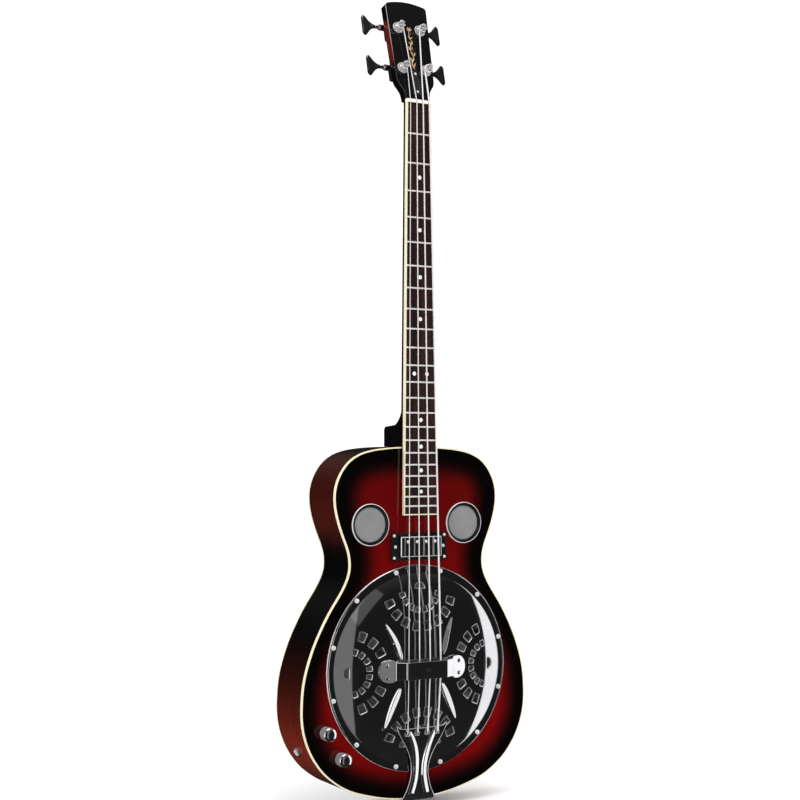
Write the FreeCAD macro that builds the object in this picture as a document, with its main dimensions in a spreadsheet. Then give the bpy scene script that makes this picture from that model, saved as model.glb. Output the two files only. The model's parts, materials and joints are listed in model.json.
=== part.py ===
import FreeCAD, Part
import math
import os
import Sketcher
from FreeCAD import Vector, Rotation, Placement

# Four-string resonator bass guitar, left-handed, 32 in scale.
# Frame: X to the player-facing viewer's right, front of the instrument towards -Y,
# +Z up along the neck. Origin at the seat of the end strap button, at the middle of
# the rim's depth. Millimetres.

os.makedirs("parts", exist_ok=True)
doc = FreeCAD.newDocument("resonator_bass")

# ---------------------------------------------------------------- dimensions
DIMS = [
    ("body_depth", 81.0), ("top_thick", 3.5), ("back_thick", 3.0), ("rim_thick", 2.6),
    ("binding_width", 2.0), ("lining_width", 6.0), ("lining_height", 11.0),
    ("scale_length", 812.8), ("nut_height_z", 1004.0), ("cone_centre_z", 186.5),
    ("well_outer_radius", 140.5), ("well_inner_radius", 135.5), ("well_ledge_radius", 127.0),
    ("well_ledge_depth", 18.0), ("top_hole_radius", 136.0),
    ("cone_radius", 134.0), ("cone_thick", 0.8),
    ("plate_radius", 148.0), ("plate_rim_height", 2.4), ("plate_dome_radius", 137.0),
    ("plate_dome_height", 14.5), ("plate_thick", 1.2), ("plate_screw_circle", 142.5),
    ("plate_screw_shank", 1.6), ("plate_screw_head", 3.4),
    ("rest_half_width", 33.2), ("rest_height", 30.5), ("rest_length", 25.0),
    ("rest_foot_reach", 72.0), ("rest_thick", 2.0),
    ("screen_x", 78.0), ("screen_z", 393.5), ("screen_radius", 30.0), ("screen_hole", 26.5),
    ("ring_width", 90.6), ("ring_length", 38.8), ("ring_z", 361.2), ("ring_thick", 5.0),
    ("cover_width", 67.6), ("cover_length", 28.8), ("cover_height", 11.5),
    ("nut_width", 40.7), ("board_end_width", 57.7), ("board_length", 597.8),
    ("board_thick", 5.5), ("board_binding", 1.8), ("fret_width", 2.4), ("fret_height", 1.1),
    ("nut_thick", 5.0), ("nut_stand", 2.2), ("string_over_nut", 1.2),
    ("board_rise_nut", 3.7), ("board_rise_end", 10.5), ("saddle_rise", 20.0),
    ("saddle_spacing", 17.6), ("nut_spacing", 10.4), ("tail_spacing", 16.5),
    ("head_tilt", 14.0), ("head_thick", 14.0), ("veneer_thick", 1.5), ("head_length", 157.5),
    ("post_upper_along", 113.7), ("post_lower_along", 49.0),
    ("post_upper_side", 18.5), ("post_lower_side", 19.5),
    ("post_radius", 4.0), ("post_waist", 3.6), ("post_top", 15.0), ("run_clear", 0.05),
    ("bushing_radius", 5.5), ("gear_teeth", 20), ("worm_pitch", 2.0), ("worm_offset", 9.0),
    ("worm_depth", 21.8), ("key_reach", 66.7), ("key_half_span", 16.0),
    ("gauge_one", 1.14), ("gauge_two", 1.65), ("gauge_three", 2.16), ("gauge_four", 2.67),
    ("knob_radius", 9.6), ("knob_height", 18.5), ("knob_one_x", -149.0), ("knob_one_z", 106.0),
    ("knob_two_x", -124.8), ("knob_two_z", 68.0), ("pot_shaft_radius", 3.0),
    ("jack_bore", 3.2), ("jack_outer", 4.75), ("button_waist", 4.6), ("button_head", 7.4),
    ("truss_radius", 3.0),
]
sheet = doc.addObject("Spreadsheet::Sheet", "Dims")
for row, (alias, value) in enumerate(DIMS, start=1):
    sheet.set("A%d" % row, alias)
    sheet.set("B%d" % row, repr(value))
    sheet.setAlias("B%d" % row, alias)
doc.recompute()


def dim(alias):
    return float(sheet.get(alias))


D = {alias: dim(alias) for alias, _ in DIMS}
PARTS = []


def keep(obj, label, place=None):
    """Name an object as a piece of the instrument and put it in its place."""
    obj.Label = label
    if place is not None:
        obj.Placement = place
    PARTS.append(obj)
    return obj


# ---------------------------------------------------------------- frames
# Body frame: local x = X, local y = up the neck (Z), local z = out of the front,
# with z = 0 on the face of the soundboard.
HALF = D["body_depth"] / 2.0
BODY = Placement(Vector(0, -HALF, 0), Rotation(Vector(1, 0, 0), 90))
NECK_TILT = math.degrees(math.atan2(D["board_rise_end"] - D["board_rise_nut"], D["board_length"]))
# Neck frame: origin on the fingerboard face at the front of the nut, y up the neck.
NECK = Placement(Vector(0, -HALF - D["board_rise_nut"], D["nut_height_z"]),
                 Rotation(Vector(1, 0, 0), 90 - NECK_TILT))
# Head frame: origin where the head face leaves the nut, y up the head, z out of its face.
HEAD_Z = D["nut_height_z"] + D["nut_thick"]
HEAD = Placement(Vector(0, -HALF - 0.8, HEAD_Z), Rotation(Vector(1, 0, 0), 90 - D["head_tilt"]))
IDENT = Placement()


def rel(inner, outer):
    """The placement of one frame as seen from another."""
    return outer.inverse().multiply(inner)


# ---------------------------------------------------------------- helpers
def feature(name, shape, place=None):
    obj = doc.addObject("Part::Feature", name)
    obj.Shape = shape
    if place is not None:
        obj.Placement = place
    return obj


def box(name, x0, y0, z0, dx, dy, dz, place=None, **expr):
    obj = doc.addObject("Part::Box", name)
    obj.Length, obj.Width, obj.Height = dx, dy, dz
    base = Placement(Vector(x0, y0, z0), Rotation())
    obj.Placement = base if place is None else place.multiply(base)
    for prop, text in expr.items():
        obj.setExpression(prop, text)
    return obj


def cyl(name, centre, radius, height, axis=Vector(0, 0, 1), place=None, **expr):
    obj = doc.addObject("Part::Cylinder", name)
    obj.Radius, obj.Height = radius, height
    base = Placement(Vector(*centre), Rotation(Vector(0, 0, 1), axis))
    obj.Placement = base if place is None else place.multiply(base)
    for prop, text in expr.items():
        obj.setExpression(prop, text)
    return obj


def cut(name, base, tool):
    obj = doc.addObject("Part::Cut", name)
    obj.Base, obj.Tool = base, tool
    return obj


def fuse(name, items):
    obj = doc.addObject("Part::MultiFuse", name)
    obj.Shapes = items
    return obj


def common(name, base, tool):
    obj = doc.addObject("Part::Common", name)
    obj.Base, obj.Tool = base, tool
    return obj


def extrude(name, sketch, length, expr=None, direction=None):
    obj = doc.addObject("Part::Extrusion", name)
    obj.Base = sketch
    if direction is None:
        obj.DirMode = "Normal"
    else:
        obj.DirMode = "Custom"
        obj.Dir = direction
    obj.LengthFwd = length
    obj.Solid = True
    if expr:
        obj.setExpression("LengthFwd", expr)
    return obj


def free_sketch(name, geometry, z=0.0):
    obj = doc.addObject("Sketcher::SketchObject", name)
    obj.Placement = Placement(Vector(0, 0, z), Rotation())
    for geo in geometry:
        obj.addGeometry(geo, False)
    return obj


def lines(points):
    """Closed polygon as sketch line segments."""
    pts = [Vector(*p) if len(p) == 3 else Vector(p[0], p[1], 0) for p in points]
    return [Part.LineSegment(pts[i], pts[(i + 1) % len(pts)]) for i in range(len(pts))]


def origin_plane(body, role):
    for item in body.Origin.OriginFeatures:
        if item.Role == role:
            return item
    raise RuntimeError("no plane " + role)


def body_sketch(body, name, role="XY_Plane", offset=0.0, offset_expr=None):
    sk = body.newObject("Sketcher::SketchObject", name)
    sk.AttachmentSupport = [(origin_plane(body, role), "")]
    sk.MapMode = "FlatFace"
    sk.AttachmentOffset = Placement(Vector(0, 0, offset), Rotation())
    if offset_expr:
        sk.setExpression("AttachmentOffset.Base.z", offset_expr)
    return sk


def add_circle(sk, x, y, radius, expr=None, xexpr=None, yexpr=None):
    geo = sk.addGeometry(Part.Circle(Vector(x, y, 0), Vector(0, 0, 1), radius), False)
    con = sk.addConstraint(Sketcher.Constraint("Radius", geo, radius))
    if expr:
        sk.setExpression("Constraints[%d]" % con, expr)
    if xexpr:
        con = sk.addConstraint(Sketcher.Constraint("DistanceX", -1, 1, geo, 3, x))
        sk.setExpression("Constraints[%d]" % con, xexpr)
    if yexpr:
        con = sk.addConstraint(Sketcher.Constraint("DistanceY", -1, 1, geo, 3, y))
        sk.setExpression("Constraints[%d]" % con, yexpr)
    return geo


def add_geo(sk, geometry):
    for geo in geometry:
        sk.addGeometry(geo, False)


def pad(body, sk, length, expr=None, reverse=False):
    f = body.newObject("PartDesign::Pad", sk.Name + "_pad")
    f.Profile = sk
    f.Length = length
    f.Reversed = reverse
    if expr:
        f.setExpression("Length", expr)
    return f


def pocket(body, sk, length=None, through=False, reverse=False, expr=None):
    f = body.newObject("PartDesign::Pocket", sk.Name + "_pocket")
    f.Profile = sk
    if through:
        f.Type = "ThroughAll"
        f.Midplane = True
    else:
        f.Length = length
        f.Reversed = reverse
        if expr:
            f.setExpression("Length", expr)
    return f


def revolve(body, sk, axis_name="V_Axis"):
    f = body.newObject("PartDesign::Revolution", sk.Name + "_rev")
    f.Profile = sk
    f.ReferenceAxis = (sk, [axis_name])
    f.Angle = 360.0
    return f


def new_body(label):
    b = doc.addObject("PartDesign::Body", label)
    return b


def turned(name, label, outline, place, lists=None):
    """A turned piece: half outline (radius, height) revolved about local z."""
    b = new_body(name)
    sk = body_sketch(b, name + "_profile", "XZ_Plane")
    add_geo(sk, lines(outline))
    revolve(b, sk)
    if lists is None:
        keep(b, label, place)
    return b


# ---------------------------------------------------------------- body outline
RIGHT = [(0, 0), (32, 1.4), (60, 5.6), (84.5, 11.8), (103.6, 17.9), (121, 26), (137.1, 36.7),
         (150.5, 48.2), (160.8, 60.3), (170.4, 75), (177.9, 91), (183.6, 110), (186.1, 130),
         (185.9, 150), (183.6, 174), (176, 204), (168.0, 225.5), (155.2, 252), (141.1, 276),
         (124.8, 300), (116.6, 315), (112.3, 328), (111.5, 338.5), (112.6, 350), (116.8, 364),
         (124.9, 384), (130.9, 402), (134.8, 420), (135.6, 432), (134.4, 445), (130.0, 459),
         (123.4, 471), (114.6, 481.5), (103, 490.2), (86, 497.2), (62, 501.7), (32, 504.0), (0, 504.6)]


def closed_curve(points):
    c = Part.BSplineCurve()
    c.interpolate(Points=points, PeriodicFlag=True)
    return c


def smooth_outline():
    pts = [Vector(x, y, 0) for x, y in RIGHT]
    left = [Vector(-x, y, 0) for x, y in reversed(RIGHT[1:-1])]
    return closed_curve(pts + left)


MASTER = smooth_outline()


def inset_curve(distance, count=96):
    """The body outline moved inwards by a distance, kept exactly symmetric."""
    if distance == 0:
        return MASTER
    first, last = MASTER.FirstParameter, MASTER.LastParameter
    dense = [MASTER.value(first + (last - first) * i / 4000.0) for i in range(2001)]
    length = [0.0]
    for a, b in zip(dense, dense[1:]):
        length.append(length[-1] + (b - a).Length)
    # half outline from the bottom centre to the top centre
    half = []
    steps = count // 2
    j = 0
    apex = max(range(len(dense)), key=lambda k: dense[k].y)
    total = length[apex]
    for i in range(steps + 1):
        target = total * i / steps
        while j < apex and length[j] < target:
            j += 1
        par = first + (last - first) * j / 4000.0
        point = MASTER.value(par)
        tangent = MASTER.tangent(par)[0]
        normal = Vector(-tangent.y, tangent.x, 0)
        if i in (0, steps):
            normal = Vector(0, 1 if i == 0 else -1, 0)
            point = Vector(0, point.y, 0)
        moved = point + normal * distance
        half.append(moved)
    left = [Vector(-p.x, p.y, 0) for p in reversed(half[1:-1])]
    return closed_curve(half + left)


def ring_solid(name, outer, inner, z0, length, expr=None):
    a = free_sketch(name + "_out", [inset_curve(outer)], z0)
    b = free_sketch(name + "_in", [inset_curve(inner)], z0 - 1.0)
    ea = extrude(name + "_oe", a, length, expr)
    eb = extrude(name + "_ie", b, length + 2.0)
    return cut(name, ea, eb)


def plate_solid(name, inset, z0, length, expr=None):
    a = free_sketch(name + "_line", [inset_curve(inset)], z0)
    return extrude(name + "_plate", a, length, expr)


BW, TT, BT = D["binding_width"], D["top_thick"], D["back_thick"]
RT, DEPTH = D["rim_thick"], D["body_depth"]
CZ = D["cone_centre_z"]

# soundboard with its resonator, screen, pickup and control openings
top = plate_solid("soundboard_blank", BW, -TT, TT, "Dims.top_thick")
holes = [
    cyl("hole_well", (0, CZ, -TT - 1), D["top_hole_radius"], TT + 2, Radius="Dims.top_hole_radius"),
    cyl("hole_screen_l", (-D["screen_x"], D["screen_z"], -TT - 1), D["screen_hole"], TT + 2,
        Radius="Dims.screen_hole"),
    cyl("hole_screen_r", (D["screen_x"], D["screen_z"], -TT - 1), D["screen_hole"], TT + 2,
        Radius="Dims.screen_hole"),
    box("hole_pickup", -36.5, D["ring_z"] - 15.5, -TT - 1, 73.0, 31.0, TT + 2),
    cyl("hole_pot_one", (D["knob_one_x"], D["knob_one_z"], -TT - 1), 4.0, TT + 2),
    cyl("hole_pot_two", (D["knob_two_x"], D["knob_two_z"], -TT - 1), 4.0, TT + 2),
]
for i in range(12):
    a_ = math.radians(15 + 30 * i)
    holes.append(cyl("hole_plate_screw_%d" % i, (D["plate_screw_circle"] * math.cos(a_),
                 CZ + D["plate_screw_circle"] * math.sin(a_), -TT - 1), D["plate_screw_shank"], TT + 2,
                 Radius="Dims.plate_screw_shank"))
for sx in (-1, 1):
    for sy in (-1, 1):
        holes.append(cyl("hole_ring_screw_%d%d" % (sx + 1, sy + 1), (sx * 41.8, D["ring_z"] + sy * 15.9, -TT - 1), 1.2, TT + 2))
    holes.append(cyl("hole_height_screw_%d" % (sx + 1), (sx * 39.8, D["ring_z"], -TT - 1), 1.3, TT + 2))
keep(cut("soundboard", top, fuse("soundboard_holes", holes)), "soundboard", BODY)

keep(plate_solid("back_panel_b", BW, -DEPTH, BT, "Dims.back_thick"), "back_panel", BODY)
keep(ring_solid("front_binding_s", 0, BW, -TT, TT, "Dims.top_thick"), "front_binding", BODY)
keep(ring_solid("back_binding_s", 0, BW, -DEPTH, BT, "Dims.back_thick"), "back_binding", BODY)

# rim with the holes for the neck tenon, the jack and the end pin
RIM_LEN = DEPTH - TT - BT
rim = ring_solid("rim_blank", 0, RT, -DEPTH + BT, RIM_LEN, "Dims.body_depth - Dims.top_thick - Dims.back_thick")
# jack: axis square to the rim, on the lower left bout
JACK_Z, JACK_N = 76.0, -41.0


def outline_at(z_value, side=-1):
    """Point and outward normal of the rim at a height, on one side."""
    first, last = MASTER.FirstParameter, MASTER.LastParameter
    best = None
    for i in range(0, 4001):
        par = first + (last - first) * i / 4000.0
        q = MASTER.value(par)
        if q.x * side <= 0:
            continue
        err = abs(q.y - z_value)
        if best is None or err < best[0]:
            best = (err, q, MASTER.tangent(par)[0])
    q, tan = best[1], best[2]
    n = Vector(tan.y, -tan.x, 0)
    if n.x * side < 0:
        n = n * -1
    return q, n


JP, JN = outline_at(JACK_Z)
JACK_AT = Vector(JP.x, JP.y, JACK_N)
print("jack at", [round(v, 4) for v in JACK_AT], "normal", [round(v, 5) for v in JN])
jack_frame = Placement(JACK_AT, Rotation(Vector(0, 0, 1), JN))
rim_tools = [
    box("rim_mortise", -15, 470, -62, 30, 40, 62 - TT),
    cyl("rim_jack_hole", (0, 0, -12), D["jack_outer"], 24, place=jack_frame, Radius="Dims.jack_outer"),
    cyl("rim_pin_hole", (0, -5, -HALF), 3.0, 14, axis=Vector(0, 1, 0)),
    cyl("rim_tail_hole_l", (-13, -5, -28.0), 1.5, 14, axis=Vector(0, 1, 0)),
    cyl("rim_tail_hole_r", (13, -5, -28.0), 1.5, 14, axis=Vector(0, 1, 0)),
]
keep(cut("side_rim", rim, fuse("rim_tools_f", rim_tools)), "side_rim", BODY)

# blocks fit the inside of the rim
inner_a = plate_solid("inner_a", RT, -DEPTH + BT, RIM_LEN)
inner_b = plate_solid("inner_b", RT, -DEPTH + BT, RIM_LEN)
nb = common("neck_block_s", inner_a, box("neck_block_box", -36, 452, -DEPTH + BT, 72, 60, RIM_LEN))
keep(cut("neck_block", nb, box("mortise", -15, 470, -62, 30, 40, 62 - TT + 0.0)), "neck_block", BODY)
eb = common("end_block_s", inner_b, box("end_block_box", -34, -4, -DEPTH + BT, 68, 34, RIM_LEN))
keep(cut("end_block", eb, fuse("end_block_holes", [
    cyl("end_pin_hole", (0, -5, -HALF), 3.0, 30, axis=Vector(0, 1, 0)),
    cyl("tail_hole_l", (-13, -5, -28.0), 1.5, 22, axis=Vector(0, 1, 0)),
    cyl("tail_hole_r", (13, -5, -28.0), 1.5, 22, axis=Vector(0, 1, 0))])), "end_block", BODY)
LW, LH = D["lining_width"], D["lining_height"]
for tag, z0 in (("front", -TT - LH), ("back", -DEPTH + BT)):
    ring = ring_solid(tag + "_lining_s", RT, RT + LW, z0, LH, "Dims.lining_height")
    gaps = fuse(tag + "_lining_gaps", [
        box(tag + "_gap_neck", -36, 440, z0 - 1, 72, 75, LH + 2),
        box(tag + "_gap_end", -34, -4, z0 - 1, 68, 40, LH + 2)])
    keep(cut(tag + "_lining", ring, gaps), tag + "_lining", BODY)

# soundwell: ring with a ledge for the cone and oval windows in its wall
b = new_body("soundwell")
sk = body_sketch(b, "soundwell_profile", "XZ_Plane")
wo, wi, wl, wd = D["well_outer_radius"], D["well_inner_radius"], D["well_ledge_radius"], D["well_ledge_depth"]
add_geo(sk, lines([(wi, -TT), (wo, -TT), (wo, -DEPTH + BT), (wi - 2, -DEPTH + BT), (wi - 2, -wd - 6),
                   (wl, -wd - 6), (wl, -wd), (wi, -wd)]))
revolve(b, sk)
sk = body_sketch(b, "soundwell_window", "XZ_Plane")
w0, w1, wr = -36.0, -66.0, 9.0
add_geo(sk, [Part.ArcOfCircle(Part.Circle(Vector(-26, (w0 + w1) / 2, 0), Vector(0, 0, 1), wr), math.pi / 2, 3 * math.pi / 2),
             Part.LineSegment(Vector(-26, (w0 + w1) / 2 - wr, 0), Vector(26, (w0 + w1) / 2 - wr, 0)),
             Part.ArcOfCircle(Part.Circle(Vector(26, (w0 + w1) / 2, 0), Vector(0, 0, 1), wr), -math.pi / 2, math.pi / 2),
             Part.LineSegment(Vector(26, (w0 + w1) / 2 + wr, 0), Vector(-26, (w0 + w1) / 2 + wr, 0))])
pk = pocket(b, sk, length=160.0)
doc.recompute()
pol = b.newObject("PartDesign::PolarPattern", "soundwell_windows")
pol.Originals = [pk]
pol.Axis = (origin_plane(b, "Z_Axis") if False else [i for i in b.Origin.OriginFeatures if i.Role == "Z_Axis"][0], [""])
pol.Angle = 360.0
pol.Occurrences = 10
b.Tip = pol
keep(b, "soundwell", BODY.multiply(Placement(Vector(0, CZ, 0), Rotation())))
WELL = BODY.multiply(Placement(Vector(0, CZ, 0), Rotation()))

# cone: a spun aluminium bowl with a raised middle, resting on the ledge
cr, ct = D["cone_radius"], D["cone_thick"]
prof = [(6.0, -30.0), (14, -34), (24, -42), (32, -47.5), (40, -49.5), (48, -48.5), (60, -44.5),
        (84, -35.0), (108, -25.0), (120, -19.6), (126, -wd)]
under = [(r_, z_ - ct) for r_, z_ in prof]
outline = ([(2.2, -29.2 + 0.0), (6.0, -30.0)] + prof[1:-1] + [(125.0, -wd + ct), (cr, -wd + ct), (cr, -wd), (126.5, -wd)]
           + [(r_ + 0.25, z_) for r_, z_ in reversed(under[1:-1])] + [(6.0, -30.0 - ct), (2.2, -29.2 - ct)])
turned("resonator_cone_b", "resonator_cone", outline, WELL)

# spider: hub, eight tapering legs and a slot for the saddle
leg_profile = [(8, -2.0, 0), (8, -9.0, 0), (96, -13.6, 0), (118, -wd + ct, 0), (131.5, -wd + ct, 0),
               (131.5, -wd + ct + 2.4, 0), (112, -11.2, 0), (60, -6.5, 0)]
leg_pts = [Vector(p[0], 0, p[1]) for p in leg_profile]
leg_wire = Part.makePolygon(leg_pts + [leg_pts[0]])
legs = []
for i in range(8):
    ang = 22.5 + 45.0 * i
    wire = leg_wire.copy()
    wire.translate(Vector(0, -2.6, 0))
    solid = Part.Face(wire).extrude(Vector(0, 5.2, 0))
    solid.rotate(Vector(0, 0, 0), Vector(0, 0, 1), ang)
    legs.append(solid)
hub = Part.makeCylinder(15.0, 9.0, Vector(0, 0, -10.0)).fuse(Part.makeBox(74, 15, 7.0, Vector(-37, -7.5, -4.0)))
hub = hub.fuse(legs)
hub = hub.cut(Part.makeBox(66.0, 6.0, 12, Vector(-33.0, -3.0, -1.0)))
hub = hub.cut(Part.makeCylinder(2.0, 40, Vector(0, 0, -30)))
keep(feature("spider_bridge_f", hub.removeSplitter()), "spider_bridge", WELL)
# centre screw that pulls the spider down on the cone
turned("cone_screw_b", "cone_tension_screw",
       [(0, -6.0), (0, -37.0), (2.0, -37.0), (2.0, -9.9999), (2.0, -8.5), (1.9, -6.0)], WELL)

# strings, from the tailpiece over the saddle and nut to the posts
GAUGES = [D["gauge_one"], D["gauge_two"], D["gauge_three"], D["gauge_four"]]
SADDLE_X = [D["saddle_spacing"] * k for k in (-1.5, -0.5, 0.5, 1.5)]
NUT_X = [D["nut_spacing"] * k for k in (-1.5, -0.5, 0.5, 1.5)]
TAIL_X = [D["tail_spacing"] * k for k in (-1.5, -0.5, 0.5, 1.5)]
TAIL_Z, TAIL_RISE = 97.0, 15.0


def body_point(x, z, rise):
    return BODY.multVec(Vector(x, z, rise))


# saddle: two-sided crest, a notch for each string
sp = [Vector(0, -3, -1), Vector(0, 3, -1), Vector(0, 3, D["saddle_rise"] - 0.6), Vector(0, 0.6, D["saddle_rise"] + 0.7),
      Vector(0, -0.6, D["saddle_rise"] + 0.7), Vector(0, -3, D["saddle_rise"] - 0.6)]
saddle = Part.Face(Part.makePolygon(sp + [sp[0]])).extrude(Vector(66, 0, 0))
saddle.translate(Vector(-33, 0, 0))
for x, g_ in zip(SADDLE_X, GAUGES):
    notch = Part.makeCylinder(g_ / 2 + 0.06, 10, Vector(x, -5, D["saddle_rise"] + g_ / 2), Vector(0, 1, 0))
    open_top = Part.makeBox(g_ + 0.12, 10, 4, Vector(x - g_ / 2 - 0.06, -5, D["saddle_rise"] + g_ / 2))
    saddle = saddle.cut(notch.fuse(open_top))
# the notches fall away behind and before the crest
for sgn in (-1, 1):
    for x, g_ in zip(SADDLE_X, GAUGES):
        w = g_ / 2 + 0.06
        low = D["saddle_rise"] - 0.45
        wedge = Part.makeBox(2 * w, 2.6, 4, Vector(x - w, 0.6 if sgn > 0 else -3.2, low))
        saddle = saddle.cut(wedge)
keep(feature("bridge_saddle_f", saddle), "bridge_saddle", WELL)


def unit(v):
    return v * (1.0 / v.Length)


def rounded_path(points, radii):
    """Straight runs joined by tangent arcs, as a list of edges."""
    edges = []
    start = points[0]
    for i in range(1, len(points) - 1):
        p, a, c = points[i], points[i - 1], points[i + 1]
        u, v = unit(a - p), unit(c - p)
        ang = u.getAngle(v)
        t = radii[i - 1] / math.tan(ang / 2)
        p1, p2 = p + u * t, p + v * t
        bis = unit(u + v)
        mid = p + bis * (radii[i - 1] / math.sin(ang / 2) - radii[i - 1])
        edges.append(Part.LineSegment(start, p1).toShape())
        edges.append(Part.Arc(p1, mid, p2).toShape())
        start = p2
    edges.append(Part.LineSegment(start, points[-1]).toShape())
    return edges


POST_AT = [(-D["post_lower_side"], D["post_lower_along"]), (-D["post_upper_side"], D["post_upper_along"]),
           (D["post_upper_side"], D["post_upper_along"]), (D["post_lower_side"], D["post_lower_along"])]
WRAP_N = [6.2, 7.4, 7.4, 6.2]
string_info = []
for k in range(4):
    g_ = GAUGES[k]
    r_ = g_ / 2
    tail = body_point(TAIL_X[k], TAIL_Z, TAIL_RISE)
    crest = body_point(SADDLE_X[k], CZ, D["saddle_rise"] + r_ + 0.03)
    nut_pt = NECK.multVec(Vector(NUT_X[k], 0.6, D["string_over_nut"] + r_ + 0.07))
    px, ps = POST_AT[k]
    R = D["post_waist"] + r_ + 0.06
    n_w = WRAP_N[k]
    centre = Vector(px, ps, n_w)
    nut_h = HEAD.inverse().multVec(nut_pt)
    # tangent point on the post's inner side
    side = 1 if px < 0 else -1
    d2 = Vector(centre.x - nut_h.x, centre.y - nut_h.y, 0)
    L2 = d2.Length
    phi = math.atan2(d2.y, d2.x)
    off = math.asin(R / L2)
    tl = math.sqrt(L2 * L2 - R * R)
    dirang = phi - side * off
    T = Vector(nut_h.x + tl * math.cos(dirang), nut_h.y + tl * math.sin(dirang), n_w)
    T_w = HEAD.multVec(T)
    pts = [tail, crest, nut_pt, T_w]
    edges = rounded_path(pts, [25.0, 9.0])
    # wrap: most of a turn round the post's waist, in the plane of the incoming string
    d = unit(T - nut_h)
    c_dir = Vector(centre.x - T.x, centre.y - T.y, 0)
    c_dir = c_dir - d * c_dir.dot(d)
    c_dir = unit(c_dir)
    C_ = T + c_dir * R
    def at(angle):
        v = (c_dir * -1) * math.cos(angle) + d * math.sin(angle)
        return HEAD.multVec(C_ + v * R)
    a1, a2 = math.radians(150), math.radians(295)
    edges.append(Part.Arc(T_w, at(a1 / 2), at(a1)).toShape())
    edges.append(Part.Arc(at(a1), at((a1 + a2) / 2), at(a2)).toShape())
    wire = Part.Wire(edges)
    start_dir = unit(crest - tail)
    circ = Part.Wire([Part.Circle(tail, start_dir, r_).toShape()])
    tube = wire.makePipeShell([circ], True, False)
    vol = tube.Volume
    expect = math.pi * r_ * r_ * wire.Length
    print("string", k + 1, "valid", tube.isValid(), "volume ratio", round(vol / expect, 4), "length", round(wire.Length, 1))
    keep(feature("string_%d_f" % (k + 1), tube), "string_%d" % (k + 1))
    string_info.append((px, ps, R, n_w))

# ---------------------------------------------------------------- coverplate
pr, pd = D["plate_radius"], D["plate_dome_radius"]
ph, pt_, rh = D["plate_dome_height"], D["plate_thick"], D["plate_rim_height"]


def dome(radius):
    """Height of the coverplate's outer face over the soundboard."""
    if radius >= pd:
        return rh
    return ph - (ph - rh) * (radius / pd) ** 2.9


b = new_body("coverplate")
sk = body_sketch(b, "coverplate_profile", "XZ_Plane")
outer = Part.BSplineCurve()
up = [Vector(x, dome(x), 0) for x in (0, 20, 40, 60, 80, 95, 108, 118, 127, 133)]
outer.interpolate(Points=up)
low = [Vector(x, dome(x) - pt_, 0) for x in (0, 20, 40, 60, 80, 95, 108, 118, 127, 132.4)]
inner = Part.BSplineCurve()
inner.interpolate(Points=low)
add_geo(sk, [outer,
             Part.LineSegment(Vector(133, dome(133), 0), Vector(136.2, rh, 0)),
             Part.LineSegment(Vector(136.2, rh, 0), Vector(pr - 1.0, rh, 0)),
             Part.LineSegment(Vector(pr - 1.0, rh, 0), Vector(pr, rh - 1.0, 0)),
             Part.LineSegment(Vector(pr, rh - 1.0, 0), Vector(pr, 0, 0)),
             Part.LineSegment(Vector(pr, 0, 0), Vector(pr - 1.2, 0, 0)),
             Part.LineSegment(Vector(pr - 1.2, 0, 0), Vector(pr - 1.5, rh - pt_, 0)),
             Part.LineSegment(Vector(pr - 1.5, rh - pt_, 0), Vector(135.6, rh - pt_, 0)),
             Part.LineSegment(Vector(135.6, rh - pt_, 0), Vector(132.4, dome(132.4) - pt_, 0)),
             inner,
             Part.LineSegment(Vector(0, dome(0) - pt_, 0), Vector(0, dome(0), 0))])
revolve(b, sk)
sk = body_sketch(b, "coverplate_slots", "XY_Plane")


def quad(cx, cy, r_in, r_out, a_mid, half_w_in, half_w_out):
    """A tapered slot on a ray from a fan's centre."""
    a = math.radians(a_mid)
    ur, ut = Vector(math.cos(a), math.sin(a), 0), Vector(-math.sin(a), math.cos(a), 0)
    c = Vector(cx, cy, 0)
    p = [c + ur * r_in + ut * -half_w_in, c + ur * r_out + ut * -half_w_out,
         c + ur * r_out + ut * half_w_out, c + ur * r_in + ut * half_w_in]
    return lines([(q.x, q.y) for q in p])


FAN_R = 115.0
for k, base_angle in enumerate((0, 90, 180, 270)):
    a0 = math.radians(base_angle)
    cx, cy = FAN_R * math.cos(a0), FAN_R * math.sin(a0)
    inward = base_angle + 180
    for j in range(8):
        ang = inward + (j - 3.5) * 21.0
        add_geo(sk, quad(cx, cy, 26.5, 34.5, ang, 2.7, 3.6))
    for j in range(8):
        ang = inward + (j - 3.5) * 19.5
        if j in (3, 4) and base_angle in (0, 180):
            continue
        add_geo(sk, quad(cx, cy, 47.5, 60.5, ang, 4.4, 5.5))
    # half-round port at the fan's root
    a = math.radians(inward)
    ut = Vector(-math.sin(a), math.cos(a), 0)
    ur = Vector(math.cos(a), math.sin(a), 0)
    c = Vector(cx, cy, 0)
    p1, p2, pm = c + ut * 8.0, c - ut * 8.0, c + ur * -8.0
    add_geo(sk, [Part.Arc(p1, pm, p2), Part.LineSegment(p2, p1)])
for i in range(12):
    a = math.radians(15 + 30 * i)
    add_circle(sk, D["plate_screw_circle"] * math.cos(a), D["plate_screw_circle"] * math.sin(a),
               D["plate_screw_shank"], "Dims.plate_screw_shank")
# opening under the palm rest for the saddle
add_geo(sk, lines([(-36, -13), (36, -13), (36, 13), (-36, 13)]))
for sx in (-1, 1):
    for sy in (-1, 1):
        add_circle(sk, sx * 59.5, sy * 8.8, 1.5)
pocket(b, sk, through=True)
doc.recompute()
keep(b, "coverplate", WELL)

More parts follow.
